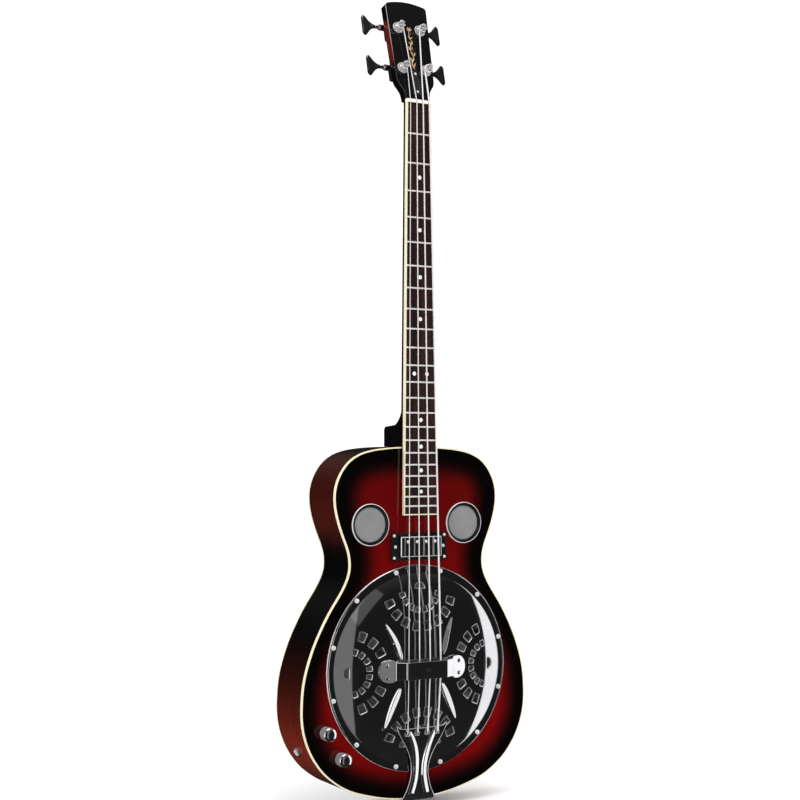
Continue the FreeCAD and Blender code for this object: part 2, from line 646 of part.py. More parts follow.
# coverplate screws: pan heads round the rim
heads = []
for i in range(12):
    a = math.radians(15 + 30 * i)
    x, y = D["plate_screw_circle"] * math.cos(a), D["plate_screw_circle"] * math.sin(a)
    s = Part.makeCylinder(D["plate_screw_shank"], TT + 3.0 + rh, Vector(x, y, -TT - 3.0))
    h = Part.makeSphere(5.0, Vector(x, y, rh - 3.35)).common(Part.makeCylinder(D["plate_screw_head"], 4, Vector(x, y, rh)))
    slot = Part.makeBox(8, 0.9, 3, Vector(x - 4, y - 0.45, rh + 0.95))
    slot2 = Part.makeBox(0.9, 8, 3, Vector(x - 0.45, y - 4, rh + 0.95))
    heads.append(s.fuse(h).cut(slot.fuse(slot2)).removeSplitter())
keep(feature("coverplate_screws_f", Part.Compound(heads)), "coverplate_screws", WELL)

# palm rest: arched cover over the saddle with a foot each side
rw, rhh, rl, rf, rt = D["rest_half_width"], D["rest_height"], D["rest_length"], D["rest_foot_reach"], D["rest_thick"]
f0 = dome(52.0) + 0.02
f1 = dome(64.0) + 0.02
f2 = dome(rf) + 0.02
outer_pts = [(rw, rhh), (46.5, f0 + rt + 0.5), (rf, f2 + rt)]
pts = [Vector(-rf, 0, f2 + rt), Vector(-46.5, 0, f0 + rt + 0.5), Vector(-rw, 0, rhh), Vector(rw, 0, rhh),
       Vector(46.5, 0, f0 + rt + 0.5), Vector(rf, 0, f2 + rt), Vector(rf, 0, f2 + 0.35), Vector(45.3, 0, f0 + 0.6),
       Vector(rw - 1.2, 0, rhh - rt), Vector(-rw + 1.2, 0, rhh - rt), Vector(-45.3, 0, f0 + 0.6), Vector(-rf, 0, f2 + 0.35)]
rest = Part.Face(Part.makePolygon(pts + [pts[0]])).extrude(Vector(0, 36.0, 0))
rest.translate(Vector(0, -18.0, 0))
# narrow over the strings; each foot flares out over the plate and closes in a round tip
plan = Part.makeBox(2 * rw + 6, rl, 60, Vector(-rw - 3, -rl / 2, 0))
for sx in (-1, 1):
    flare = [(45.8, rl / 2), (48.6, 14.6), (53.0, 16.4), (60.0, 16.0), (66.5, 12.9), (70.6, 7.3), (rf, 0.0)]
    flare = [Vector(sx * x, y, 0) for x, y in flare] + [Vector(sx * x, -y, 0) for x, y in flare[-2::-1]]
    curve = Part.BSplineCurve()
    curve.interpolate(flare)
    a0, a1 = Vector(sx * (rw + 2.0), -rl / 2, 0), Vector(sx * (rw + 2.0), rl / 2, 0)
    edge = Part.Wire([curve.toShape(), Part.makeLine(flare[-1], a0), Part.makeLine(a0, a1), Part.makeLine(a1, flare[0])])
    plan = plan.fuse(Part.Face(edge).extrude(Vector(0, 0, 60)))
rest = rest.common(plan.removeSplitter())
side_panel = []
for sx in (-1, 1):
    for sy in (-1, 1):
        rest = rest.cut(Part.makeCylinder(1.5, 60, Vector(sx * 59.5, sy * 8.8, 0)))
rest = rest.cut(Part.makeCylinder(2.0, 10, Vector(0, 0, rhh - 5)))
keep(feature("palm_rest_f", rest.removeSplitter()), "palm_rest", WELL)
screws = []
foot_top = f0 + rt + 0.5 + (f2 + rt - f0 - rt - 0.5) * (59.5 - 46.5) / (rf - 46.5)
for sx in (-1, 1):
    for sy in (-1, 1):
        c = (sx * 59.5, sy * 8.8)
        s = Part.makeCylinder(1.5, foot_top + 0.9, Vector(c[0], c[1], 3.0 - 1.5))
        h = Part.makeSphere(4.4, Vector(c[0], c[1], foot_top + 0.35 - 2.9)).common(
            Part.makeCylinder(3.1, 4, Vector(c[0], c[1], foot_top + 0.35)))
        s = Part.makeCylinder(1.5, foot_top + 0.6, Vector(c[0], c[1], 0.0))
        s = s.cut(Part.makeBox(8, 8, 3.0, Vector(c[0] - 4, c[1] - 4, 0.0)))
        slot = Part.makeBox(8, 0.8, 2, Vector(c[0] - 4, c[1] - 0.4, foot_top + 1.15))
        screws.append(s.fuse(h).cut(slot).removeSplitter())
keep(feature("palm_rest_screws_f", Part.Compound(screws)), "palm_rest_screws", WELL)

# round screens: rolled ring with a mesh disc behind it
for tag, sx in (("left", -1), ("right", 1)):
    b = new_body("sound_screen_" + tag)
    sk = body_sketch(b, "screen_%s_profile" % tag, "XZ_Plane")
    sr, sh = D["screen_radius"], D["screen_hole"]
    add_geo(sk, [Part.LineSegment(Vector(sr, 0, 0), Vector(sr - 0.2, 1.1, 0)),
                 Part.Arc(Vector(sr - 0.2, 1.1, 0), Vector(sr - 1.8, 2.2, 0), Vector(sr - 3.4, 1.3, 0)),
                 Part.LineSegment(Vector(sr - 3.4, 1.3, 0), Vector(sr - 4.4, -0.6, 0)),
                 Part.LineSegment(Vector(sr - 4.4, -0.6, 0), Vector(16, 0.15, 0)),
                 Part.LineSegment(Vector(16, 0.15, 0), Vector(6, 0.5, 0)),
                 Part.LineSegment(Vector(6, 0.5, 0), Vector(0, 0.5, 0)),
                 Part.LineSegment(Vector(0, 0.5, 0), Vector(0, -0.5, 0)),
                 Part.LineSegment(Vector(0, -0.5, 0), Vector(6, -0.5, 0)),
                 Part.LineSegment(Vector(6, -0.5, 0), Vector(16, -0.85, 0)),
                 Part.LineSegment(Vector(16, -0.85, 0), Vector(sr - 4.2, -1.7, 0)),
                 Part.LineSegment(Vector(sr - 4.2, -1.7, 0), Vector(sr - 4.2, -6.0, 0)),
                 Part.LineSegment(Vector(sr - 4.2, -6.0, 0), Vector(sh, -6.0, 0)),
                 Part.LineSegment(Vector(sh, -6.0, 0), Vector(sh, 0, 0)),
                 Part.LineSegment(Vector(sh, 0, 0), Vector(sr, 0, 0))])
    revolve(b, sk)
    keep(b, "sound_screen_" + tag, BODY.multiply(Placement(Vector(sx * D["screen_x"], D["screen_z"], 0), Rotation())))

# ---------------------------------------------------------------- pickup
PICK = BODY.multiply(Placement(Vector(0, D["ring_z"], 0), Rotation()))
rgw, rgl, rgt = D["ring_width"], D["ring_length"], D["ring_thick"]
cw, cl, ch = D["cover_width"], D["cover_length"], D["cover_height"]
b = new_body("pickup_ring")
sk = body_sketch(b, "pickup_ring_plan")
add_geo(sk, lines([(-rgw / 2, -rgl / 2), (rgw / 2, -rgl / 2), (rgw / 2, rgl / 2), (-rgw / 2, rgl / 2)]))
pad(b, sk, rgt, "Dims.ring_thick")
doc.recompute()
sk = body_sketch(b, "pickup_ring_hole")
hx, hy = cw / 2 + 0.3, cl / 2 + 0.3
add_geo(sk, lines([(-hx, -hy), (hx, -hy), (hx, hy), (-hx, hy)]))
for sx in (-1, 1):
    for sy in (-1, 1):
        add_circle(sk, sx * 41.8, sy * 15.9, 1.2)
    add_circle(sk, sx * 39.8, 0, 1.3)
pocket(b, sk, through=True)
doc.recompute()
keep(b, "pickup_ring", PICK)

b = new_body("pickup_cover")
sk = body_sketch(b, "pickup_cover_plan")
add_geo(sk, lines([(-cw / 2, -cl / 2), (cw / 2, -cl / 2), (cw / 2, cl / 2), (-cw / 2, cl / 2)]))
pad(b, sk, ch, "Dims.cover_height")
doc.recompute()
base_pad = b.Tip
edges = []
for i, e in enumerate(base_pad.Shape.Edges, start=1):
    bb = e.BoundBox
    if bb.ZLength > ch - 0.1 or bb.ZMin > ch - 0.01:
        edges.append("Edge%d" % i)
f = b.newObject("PartDesign::Fillet", "pickup_cover_round")
f.Base = (base_pad, edges)
f.Radius = 1.6
doc.recompute()
sk = body_sketch(b, "pickup_cover_inside")
add_geo(sk, lines([(-cw / 2 + 0.9, -cl / 2 + 0.9), (cw / 2 - 0.9, -cl / 2 + 0.9), (cw / 2 - 0.9, cl / 2 - 0.9), (-cw / 2 + 0.9, cl / 2 - 0.9)]))
pocket(b, sk, length=ch - 0.9, reverse=True)
doc.recompute()
sk = body_sketch(b, "pickup_cover_poles")
POLE_X = [-22.5, -7.5, 7.5, 22.5]
for x in POLE_X:
    add_circle(sk, x, 7.2, 2.3)
pocket(b, sk, through=True)
doc.recompute()
keep(b, "pickup_cover", PICK)
COVER_VOL = None

coil = Part.makeBox(cw - 2.2, cl - 2.2, ch - 2.4, Vector(-cw / 2 + 1.1, -cl / 2 + 1.1, 0.6))
coil = coil.fuse(Part.makeBox(cw + 2.0, cl - 4.0, 1.6, Vector(-cw / 2 - 1.0, -cl / 2 + 2.0, -2.4)))
coil = coil.fuse(Part.makeBox(cw - 8.0, cl - 6.0, 4.0, Vector(-cw / 2 + 4.0, -cl / 2 + 3.0, -2.4)))
for x in POLE_X:
    coil = coil.cut(Part.makeCylinder(1.6, 30, Vector(x, 7.2, -10)))
keep(feature("pickup_coils_f", coil.removeSplitter()), "pickup_coils", PICK)
poles = []
for x in POLE_X:
    p_ = Part.makeCylinder(1.6, ch + 4.4, Vector(x, 7.2, -4.4 + 0.0)).fuse(
        Part.makeCylinder(2.25, 0.9, Vector(x, 7.2, ch - 0.5)))
    poles.append(p_.cut(Part.makeBox(6, 0.7, 0.6, Vector(x - 3, 7.2 - 0.35, ch + 0.0))).removeSplitter())
keep(feature("pickup_pole_screws_f", Part.Compound(poles)), "pickup_pole_screws", PICK)
screws = []
for sx in (-1, 1):
    for x, y, rr, hr in ((41.8, 15.9, 1.2, 2.2), (41.8, -15.9, 1.2, 2.2), (39.8, 0, 1.3, 2.3)):
        c = Vector(sx * x, y, 0)
        s = Part.makeCylinder(rr, rgt + (2.0 if y else 6.5), c + Vector(0, 0, -2.0 if y else -6.5))
        h = Part.makeSphere(3.2, c + Vector(0, 0, rgt - 2.0)).common(Part.makeCylinder(hr, 3, c + Vector(0, 0, rgt)))
        s = s.fuse(h).cut(Part.makeBox(6, 0.6, 1.2, c + Vector(-3, -0.3, rgt + 0.65)))
        screws.append(s.removeSplitter())
# the four corner screws bite the soundboard
keep(feature("pickup_screws_f", Part.Compound(screws)), "pickup_screws", PICK)

# ---------------------------------------------------------------- controls
kr, kh = D["knob_radius"], D["knob_height"]
psr, rc = D["pot_shaft_radius"], D["run_clear"]
pots, nuts = [], []
for tag, kx, kz in (("volume", D["knob_one_x"], D["knob_one_z"]), ("tone", D["knob_two_x"], D["knob_two_z"])):
    at_k = BODY.multiply(Placement(Vector(kx, kz, 0), Rotation()))
    turned(tag + "_knob_b", tag + "_knob",
           [(psr, 4.6), (psr, 14.0), (0, 14.0), (0, kh + 0.25), (3.0, kh + 0.18), (5.0, kh - 0.09), (6.6, kh - 0.59), (7.8, kh - 1.18),
            (8.6, kh - 1.72), (9.1, kh - 2.11), (9.4, kh - 2.9), (kr, kh - 5.0), (kr, 1.7), (kr - 0.4, 1.2), (7.2, 1.2), (7.2, 4.6)],
           at_k)
    turned("pot_shaft_%s_b" % tag, "pot_shaft_" + tag,
           [(0, -11.0), (psr, -11.0), (psr, 13.6), (psr - 0.4, 14.0), (0, 14.0)], at_k)
    pot = Part.makeCylinder(8.5, 9.0, Vector(kx, kz, -TT - 9.3)).fuse(
        Part.makeCylinder(3.95, TT + 4.2, Vector(kx, kz, -TT - 0.4)))
    pot = pot.fuse(Part.makeBox(11, 9, 1.6, Vector(kx - 5.5, kz - 16.5, -TT - 6.0)))
    pot = pot.cut(Part.makeCylinder(psr + rc, 30, Vector(kx, kz, -11.2)))
    pots.append(pot.removeSplitter())
    hexa = [Vector(kx + 5.9 * math.cos(math.radians(60 * i)), kz + 5.9 * math.sin(math.radians(60 * i)), 0.5) for i in range(6)]
    nut_ = Part.Face(Part.makePolygon(hexa + [hexa[0]])).extrude(Vector(0, 0, 2.0)).fuse(
        Part.makeCylinder(6.6, 0.5, Vector(kx, kz, 0)))
    nuts.append(nut_.cut(Part.makeCylinder(3.95, 10, Vector(kx, kz, -2))).removeSplitter())
keep(feature("control_pots_f", Part.Compound(pots)), "control_pots", BODY)

# output jack through the rim, with its hex nut and washer outside
JACK = BODY.multiply(jack_frame)
jb, jo = D["jack_bore"] + 0.05, D["jack_outer"]
turned("output_jack_b", "output_jack",
       [(jb, 4.2), (jo - 0.3, 4.2), (jo, 3.9), (jo, -3.2), (8.0, -3.2), (8.0, -8.0), (6.0, -8.0), (6.0, -24.0),
        (0, -24.0), (0, -22.5), (jb, -22.5)], JACK)
hexa = [Vector(6.6 * math.cos(math.radians(60 * i)), 6.6 * math.sin(math.radians(60 * i)), 0.9) for i in range(6)]
jn = Part.Face(Part.makePolygon(hexa + [hexa[0]])).extrude(Vector(0, 0, 2.2)).fuse(Part.makeCylinder(7.4, 0.85, Vector(0, 0, 0.05)))
jn = jn.cut(Part.makeCylinder(jo, 12, Vector(0, 0, -3)))
jn = jn.removeSplitter()
jn.Placement = jack_frame.multiply(jn.Placement)
nuts.append(jn)
keep(feature("control_nuts_f", Part.Compound(nuts)), "control_nuts", BODY)

# ---------------------------------------------------------------- tailpiece
# plan outline cut from a bent strip that lies over the coverplate and wraps the end
strip_top = [(108, 13.9), (100, 13.7), (90, 13.35), (76, 12.0), (62, 9.8), (50, 7.9), (40, 6.9), (26, 6.0), (12, 4.9), (5, 3.9)]
t2 = 2.0
prof_pts = [Vector(0, z, h_) for z, h_ in strip_top]
prof_pts += [Vector(0, 0.8, 2.4), Vector(0, -1.8, 0.2), Vector(0, -2.6, -3.0), Vector(0, -2.6, -52.0), Vector(0, 0, -52.0),
             Vector(0, 0, -1.2), Vector(0, 0.6, 0.05), Vector(0, 5.0, 0.6), Vector(0, 12, 2.4)]
prof_pts += [Vector(0, z, h_ - t2) for z, h_ in reversed(strip_top[:-2])]
strip = Part.Face(Part.makePolygon(prof_pts + [prof_pts[0]])).extrude(Vector(90, 0, 0))
strip.translate(Vector(-45, 0, 0))
side_pts = [(43, 107.5), (38, 96), (31, 85), (22, 70), (16.4, 56), (14.2, 43), (15.2, 31), (19, 18), (24, 7), (27, 0)]
curve = Part.BSplineCurve()
curve.interpolate(Points=[Vector(x, y, 0) for x, y in side_pts])
curve_l = Part.BSplineCurve()
curve_l.interpolate(Points=[Vector(-x, y, 0) for x, y in side_pts])
plan_edges = [curve.toShape(), Part.LineSegment(Vector(27, 0, 0), Vector(20, -6, 0)).toShape(),
              Part.LineSegment(Vector(20, -6, 0), Vector(-20, -6, 0)).toShape(),
              Part.LineSegment(Vector(-20, -6, 0), Vector(-27, 0, 0)).toShape(), curve_l.toShape(),
              Part.LineSegment(Vector(-43, 107.5, 0), Vector(-36, 105.5, 0)).toShape(),
              Part.LineSegment(Vector(-36, 105.5, 0), Vector(-31, 103.0, 0)).toShape(),
              Part.LineSegment(Vector(-31, 103.0, 0), Vector(31, 103.0, 0)).toShape(),
              Part.LineSegment(Vector(31, 103.0, 0), Vector(36, 105.5, 0)).toShape(),
              Part.LineSegment(Vector(36, 105.5, 0), Vector(43, 107.5, 0)).toShape()]
plan_wire = Part.Wire(Part.__sortEdges__(plan_edges))
plan_solid = Part.Face(plan_wire).extrude(Vector(0, 0, 80))
plan_solid.translate(Vector(0, 0, -58))
tail = strip.common(plan_solid)
for x in TAIL_X:
    tail = tail.cut(Part.makeBox(6.4, 6.4, 30, Vector(x - 3.2, 92.6, 0)))
# the wrapped end narrows towards the button
for sx in (-1, 1):
    w = [Vector(sx * 30, -8, -14), Vector(sx * 20.5, -8, -14), Vector(sx * 13, -8, -54), Vector(sx * 30, -8, -54)]
    tail = tail.cut(Part.Face(Part.makePolygon(w + [w[0]])).extrude(Vector(0, 12, 0)))
for x in (-13.0, 13.0):
    tail = tail.cut(Part.makeCylinder(1.5, 12, Vector(x, -8, -28.0), Vector(0, 1, 0)))
tail = tail.cut(Part.makeCylinder(3.0, 12, Vector(0, -8, -HALF), Vector(0, 1, 0)))
keep(feature("tailpiece_f", tail.removeSplitter()), "tailpiece", BODY)
screws = []
for x in (-13.0, 13.0):
    s = Part.makeCylinder(1.5, 18.0, Vector(x, -2.6, -28.0), Vector(0, 1, 0))
    h = Part.makeSphere(3.9, Vector(x, -2.6 + 1.9, -28.0)).common(Part.makeCylinder(3.3, 4, Vector(x, -2.6, -28.0), Vector(0, -1, 0)))
    s = s.fuse(h).cut(Part.makeBox(8, 1.2, 0.8, Vector(x - 4, -5.2, -28.4)))
    screws.append(s.removeSplitter())
keep(feature("tailpiece_screws_f", Part.Compound(screws)), "tailpiece_screws", BODY)
# end strap button: flange, waist, rounded head, and its screw into the end block
BUTTON = BODY.multiply(Placement(Vector(0, 0, -HALF), Rotation(Vector(1, 0, 0), 90)))
bwst, bhd = D["button_waist"], D["button_head"]
turned("strap_button_b", "strap_button",
       [(0, -22.0), (1.2, -21.0), (3.0, -18.0), (3.0, 2.6), (6.6, 2.6), (6.6, 3.6), (bwst + 0.6, 5.0), (bwst, 7.0),
        (bwst + 0.4, 9.2), (bhd - 1.0, 10.6), (bhd, 11.2), (bhd, 13.2), (bhd - 0.8, 14.0), (3.2, 14.4), (3.2, 13.6), (0, 13.6)], BUTTON)

# ---------------------------------------------------------------- neck
bw0, bw1, bl = D["nut_width"], D["board_end_width"], D["board_length"]
bth, bbd = D["board_thick"], D["board_binding"]


def board_half(y):
    return (bw0 + (bw1 - bw0) * (-y / bl)) / 2.0


# the neck's own wood under the board: rounded sections along its length (neck frame)
def d_section(y, half, depth, top=-bth, flat=1.0):
    pts = []
    for i in range(13):
        th = math.pi * i / 12.0
        cx = math.cos(th)
        sz = math.sin(th)
        x = half * math.copysign(abs(cx) ** 0.9, cx)
        z = top - depth * (sz ** flat)
        pts.append(Vector(x, y, z))
    c = Part.BSplineCurve()
    c.interpolate(Points=pts)
    return Part.Wire([c.toShape(), Part.LineSegment(pts[-1], pts[0]).toShape()])


NECK_SECTIONS = [(0.0, 15.2), (-120.0, 15.6), (-280.0, 16.4), (-420.0, 17.2), (-500.0, 17.8)]
wires = [d_section(y, board_half(y) - 0.0, t_, flat=0.8) for y, t_ in NECK_SECTIONS]
shaft = Part.makeLoft(wires, True, False)
# heel: a block with a rounded back corner where the neck meets the rim (neck frame)
hz = -bth
heel_back = -(66.0 + D["board_rise_nut"] - 0.0)


def heel_rect(z, half, y0, y1):
    pts = [Vector(-half, y0, z), Vector(half, y0, z), Vector(half, y1, z), Vector(-half, y1, z)]
    return Part.makePolygon(pts + [pts[0]])


heel = Part.makeLoft([heel_rect(-bth - 2.0, 26.6, -500.0, -466.0), heel_rect(-40.0, 22.5, -500.0, -467.5),
                      heel_rect(heel_back - 6.0, 18.5, -500.0, -469.5)], True, False)
picked = []
for e in heel.Edges:
    bb = e.BoundBox
    if bb.XLength > 30 and bb.ZMax < heel_back and bb.YMin > -480:
        picked.append(e)
try:
    heel = heel.makeFillet(7.0, picked)
except Exception as err:
    print("heel fillet skipped", err)
# fillet between shaft and heel
gus = [Vector(-20, -467.0, -bth - 10.0), Vector(-20, -467.0, -40.0), Vector(-20, -463.0, -33.0), Vector(-20, -455.0, -25.5), Vector(-20, -440.0, -bth - 12.0)]
gusset = Part.Face(Part.makePolygon(gus + [gus[0]])).extrude(Vector(40, 0, 0))
# tongue under the board over the soundboard (body frame side profile, then to neck frame)
to_neck = NECK.inverse().multiply(BODY)


def nk(x, y, z):
    return to_neck.multVec(Vector(x, y, z))


zt0 = D["nut_height_z"] - bl
front_under = lambda zz: D["board_rise_nut"] + (D["nut_height_z"] - zz) * math.tan(math.radians(NECK_TILT)) - bth / math.cos(math.radians(NECK_TILT))
tp = [(-23.5, zt0 + 1.0, 0.0), (-23.5, 505.5, 0.0), (-23.5, 505.5, front_under(505.5)), (-23.5, zt0 + 1.0, front_under(zt0 + 1.0))]
tp = [nk(*p) for p in tp]
tongue = Part.Face(Part.makePolygon(tp + [tp[0]])).extrude(Vector(47, 0, 0))
tenon_pts = [nk(-15, 474.0, -TT - 0.02), nk(-15, 506.0, -TT - 0.02), nk(-15, 506.0, -60.0), nk(-15, 474.0, -60.0)]
tenon = Part.Face(Part.makePolygon(tenon_pts + [tenon_pts[0]])).extrude(Vector(30, 0, 0))
# the heel ends square on the top of the rim
trim_pts = [nk(-60, 504.62, 0.0), nk(-60, 440.0, 0.0), nk(-60, 440.0, -120.0), nk(-60, 504.62, -120.0)]
trim = Part.Face(Part.makePolygon(trim_pts + [trim_pts[0]])).extrude(Vector(120, 0, 0))

# headstock wood (head frame), under its veneer
HT, VT = D["head_thick"], D["veneer_thick"]


def head_outline(grow=0.0):
    right = [(20.35, 0.0), (20.6, 6.0), (22.3, 14.0), (26.0, 20.5), (29.6, 26.0), (31.1, 32.0), (31.5, 40.0)]
    c1 = Part.BSplineCurve()
    c1.interpolate(Points=[Vector(x, y, 0) for x, y in right])
    c1l = Part.BSplineCurve()
    c1l.interpolate(Points=[Vector(-x, y, 0) for x, y in right])
    edges = [c1.toShape(), Part.LineSegment(Vector(31.5, 40, 0), Vector(34.4, 147.5, 0)).toShape(),
             Part.Arc(Vector(34.4, 147.5, 0), Vector(33.3, 151.2, 0), Vector(30.0, 153.3, 0)).toShape(),
             Part.Arc(Vector(30.0, 153.3, 0), Vector(0, 157.5, 0), Vector(-30.0, 153.3, 0)).toShape(),
             Part.Arc(Vector(-30.0, 153.3, 0), Vector(-33.3, 151.2, 0), Vector(-34.4, 147.5, 0)).toShape(),
             Part.LineSegment(Vector(-34.4, 147.5, 0), Vector(-31.5, 40, 0)).toShape(), c1l.toShape(),
             Part.LineSegment(Vector(-20.35, 0, 0), Vector(20.35, 0, 0)).toShape()]
    return Part.Wire(Part.__sortEdges__(edges))


def place_shape(shape, placement):
    out = shape.copy()
    out.Placement = placement.multiply(out.Placement)
    return out


head_wood = Part.Face(head_outline()).extrude(Vector(0, 0, HT - VT))
head_wood.translate(Vector(0, 0, -HT))
head_in_neck = NECK.inverse().multiply(HEAD)
head_wood_n = place_shape(head_wood, head_in_neck)
# blend from the shaft into the back of the headstock
def head_section(s_, half, depth):
    pts = []
    for i in range(13):
        th = math.pi * i / 12.0
        cx = math.cos(th)
        sz = math.sin(th)
        pts.append(head_in_neck.multVec(Vector(half * math.copysign(abs(cx) ** 0.9, cx), s_, -VT - 0.4 - (depth - VT - 0.4) * (sz ** 0.7))))
    c = Part.BSplineCurve()
    c.interpolate(Points=pts)
    return Part.Wire([c.toShape(), Part.LineSegment(pts[-1], pts[0]).toShape()])


blend = Part.makeLoft([d_section(0.0, board_half(0), 15.2, flat=0.8), head_section(9.0, 20.3, 17.4), head_section(20.0, 23.0, 15.0), head_section(32.0, 26.0, HT - 0.3)], True, False)
neck = shaft.fuse([heel, gusset.common(Part.makeBox(44, 60, 40, Vector(-22, -470, -45)))])
neck = neck.cut(trim)
neck = neck.fuse([tongue, tenon, blend, head_wood_n])
# keep the nut's seat and the veneer's seat clear
nut_seat = Part.makeBox(60, D["nut_thick"] + 2.2, 12, Vector(-30, 0.0, -bth))
neck = neck.cut(nut_seat)
above_head = Part.makeBox(90, 200, 14, Vector(-45, -6.0, -VT))
neck = neck.cut(place_shape(above_head, head_in_neck))
# truss-rod channel
tr = D["truss_radius"]
rod_hole = Part.makeCylinder(tr, 470.0, Vector(0, -455.0, -bth - tr - 0.6), Vector(0, 1, 0))
neck = neck.cut(rod_hole)
# tuner holes and screw holes
POSTS = [(-D["post_lower_side"], D["post_lower_along"]), (-D["post_upper_side"], D["post_upper_along"]),
         (D["post_upper_side"], D["post_upper_along"]), (D["post_lower_side"], D["post_lower_along"])]
holes_h = []
for px, ps in POSTS:
    holes_h.append(place_shape(Part.makeCylinder(D["bushing_radius"], 40, Vector(px, ps, -25)), head_in_neck))
    holes_h.append(place_shape(Part.makeCylinder(1.2, 8.0, Vector(px, ps - 12.0, -HT)), head_in_neck))
COVER_SCREWS = [(0, 12.5), (0, 41.0)]
for cx_, cy_ in COVER_SCREWS:
    holes_h.append(place_shape(Part.makeCylinder(1.1, 7.0, Vector(cx_, cy_, -7.0)), head_in_neck))
neck = neck.cut(holes_h[0].fuse(holes_h[1:]))
neck = neck.removeSplitter()
print("neck solids", len(neck.Solids), neck.isValid(), round(neck.Volume))
keep(feature("neck_f", neck.Solids[0] if len(neck.Solids) == 1 else neck), "neck", NECK)

rod = Part.makeCylinder(tr, 462.0, Vector(0, -455.0, -bth - tr - 0.6), Vector(0, 1, 0))
rod = rod.common(Part.makeBox(20, 470, 40, Vector(-10, -455, -40)))
keep(feature("truss_rod_f", rod), "truss_rod", NECK)

# fingerboard, its binding, frets and markers
def trapezoid(y0, y1, shrink, z0, z1):
    pts = [Vector(-(board_half(y0) - shrink), y0, z0), Vector(board_half(y0) - shrink, y0, z0),
           Vector(board_half(y1) - shrink, y1, z0), Vector(-(board_half(y1) - shrink), y1, z0)]
    return Part.Face(Part.makePolygon(pts + [pts[0]])).extrude(Vector(0, 0, z1 - z0))


board = trapezoid(0.0, -bl + bbd, bbd, -bth, 0.0)
full = trapezoid(0.0, -bl, 0.0, -bth, 0.0)
markers, pockets_m = [], []
S = D["scale_length"]


def fret_y(n):
    return -S * (1.0 - 2.0 ** (-n / 12.0))


for n in (3, 5, 7, 9, 12, 15, 17, 19, 21):
    y = (fret_y(n) + fret_y(n - 1)) / 2
    spots = (-10.5, 10.5) if n == 12 else (0.0,)
    for x in spots:
        rad = 3.0 if n < 20 else 2.6
        markers.append(Part.makeCylinder(rad, 1.5, Vector(x, y, -1.5)))
board_cut = board.cut(markers[0].fuse(markers[1:]))
keep(feature("fretboard_f", board_cut), "fretboard", NECK)
keep(feature("fretboard_binding_f", full.cut(board).removeSplitter()), "fretboard_binding", NECK)
keep(feature("fret_markers_f", Part.Compound(markers)), "fret_markers", NECK)
frets = []
fw, fh = D["fret_width"] / 2, D["fret_height"]
for n in range(1, 23):
    y = fret_y(n)
    half = board_half(y) - 0.4
    prof = Part.Wire([Part.Arc(Vector(-half, y - fw, 0.0), Vector(-half, y, fh), Vector(-half, y + fw, 0.0)).toShape(),
                      Part.LineSegment(Vector(-half, y + fw, 0), Vector(-half, y - fw, 0)).toShape()])
    fret = Part.Face(prof).extrude(Vector(2 * half, 0, 0))
    # ends bevelled inwards
    for sx in (-1, 1):
        bev = [Vector(sx * half, y - 5, 0), Vector(sx * (half - 1.0), y - 5, fh + 0.1), Vector(sx * (half + 3), y - 5, fh + 0.1), Vector(sx * (half + 3), y - 5, 0)]
        fret = fret.cut(Part.Face(Part.makePolygon(bev + [bev[0]])).extrude(Vector(0, 10, 0)))
    frets.append(fret)
keep(feature("frets_f", Part.Compound(frets)), "frets", NECK)

# nut: front face at y = 0, crest at the front, slots for the strings
nth, nst = D["nut_thick"], D["nut_stand"]
npf = [Vector(0, 0, -bth + 0.0), Vector(0, 0, nst), Vector(0, 1.4, nst), Vector(0, nth, nst - 1.6), Vector(0, nth, -bth + 0.0)]
nut_b = Part.Face(Part.makePolygon(npf + [npf[0]])).extrude(Vector(bw0 - 0.2, 0, 0))
nut_b.translate(Vector(-(bw0 - 0.2) / 2, 0, 0))
inner_xy = Vector(0, 0, 0)
for k in range(4):
    g_ = GAUGES[k]
    r_ = g_ / 2 + 0.17
    x = NUT_X[k]
    oz = D["string_over_nut"]
    slot = Part.makeBox(2 * r_, 20, 8, Vector(x - r_, -5, oz + r_))
    slot = slot.fuse(Part.makeCylinder(r_, 20, Vector(x, -5, oz + r_), Vector(0, 1, 0)))
    fan = Part.makeBox(2 * r_ + 0.9, nth, 8, Vector(x - r_ - 0.45, 1.1, oz - 1.3))
    # just behind the crest the slot's floor falls away from the string
    relief = Part.makeBox(2 * r_ + 0.3, nth, 8, Vector(x - r_ - 0.15, 0.15, oz - 0.35))
    nut_b = nut_b.cut(slot.fuse([relief, fan]))
keep(feature("nut_f", nut_b.removeSplitter()), "nut", NECK)

# ---------------------------------------------------------------- headstock face
ven = Part.Face(head_outline()).extrude(Vector(0, 0, VT))
ven.translate(Vector(0, 0, -VT))
# the veneer stops at the back of the nut
nut_back = place_shape(Part.makeBox(60, 30, 30, Vector(-30, nth - 30, -12)), head_in_neck.inverse())
ven = ven.cut(nut_back)
vh = [Part.makeCylinder(D["bushing_radius"], 10, Vector(px, ps, -5)) for px, ps in POSTS]
vh += [Part.makeCylinder(1.1, 7.0, Vector(cx_, cy_, -5.0)) for cx_, cy_ in COVER_SCREWS]
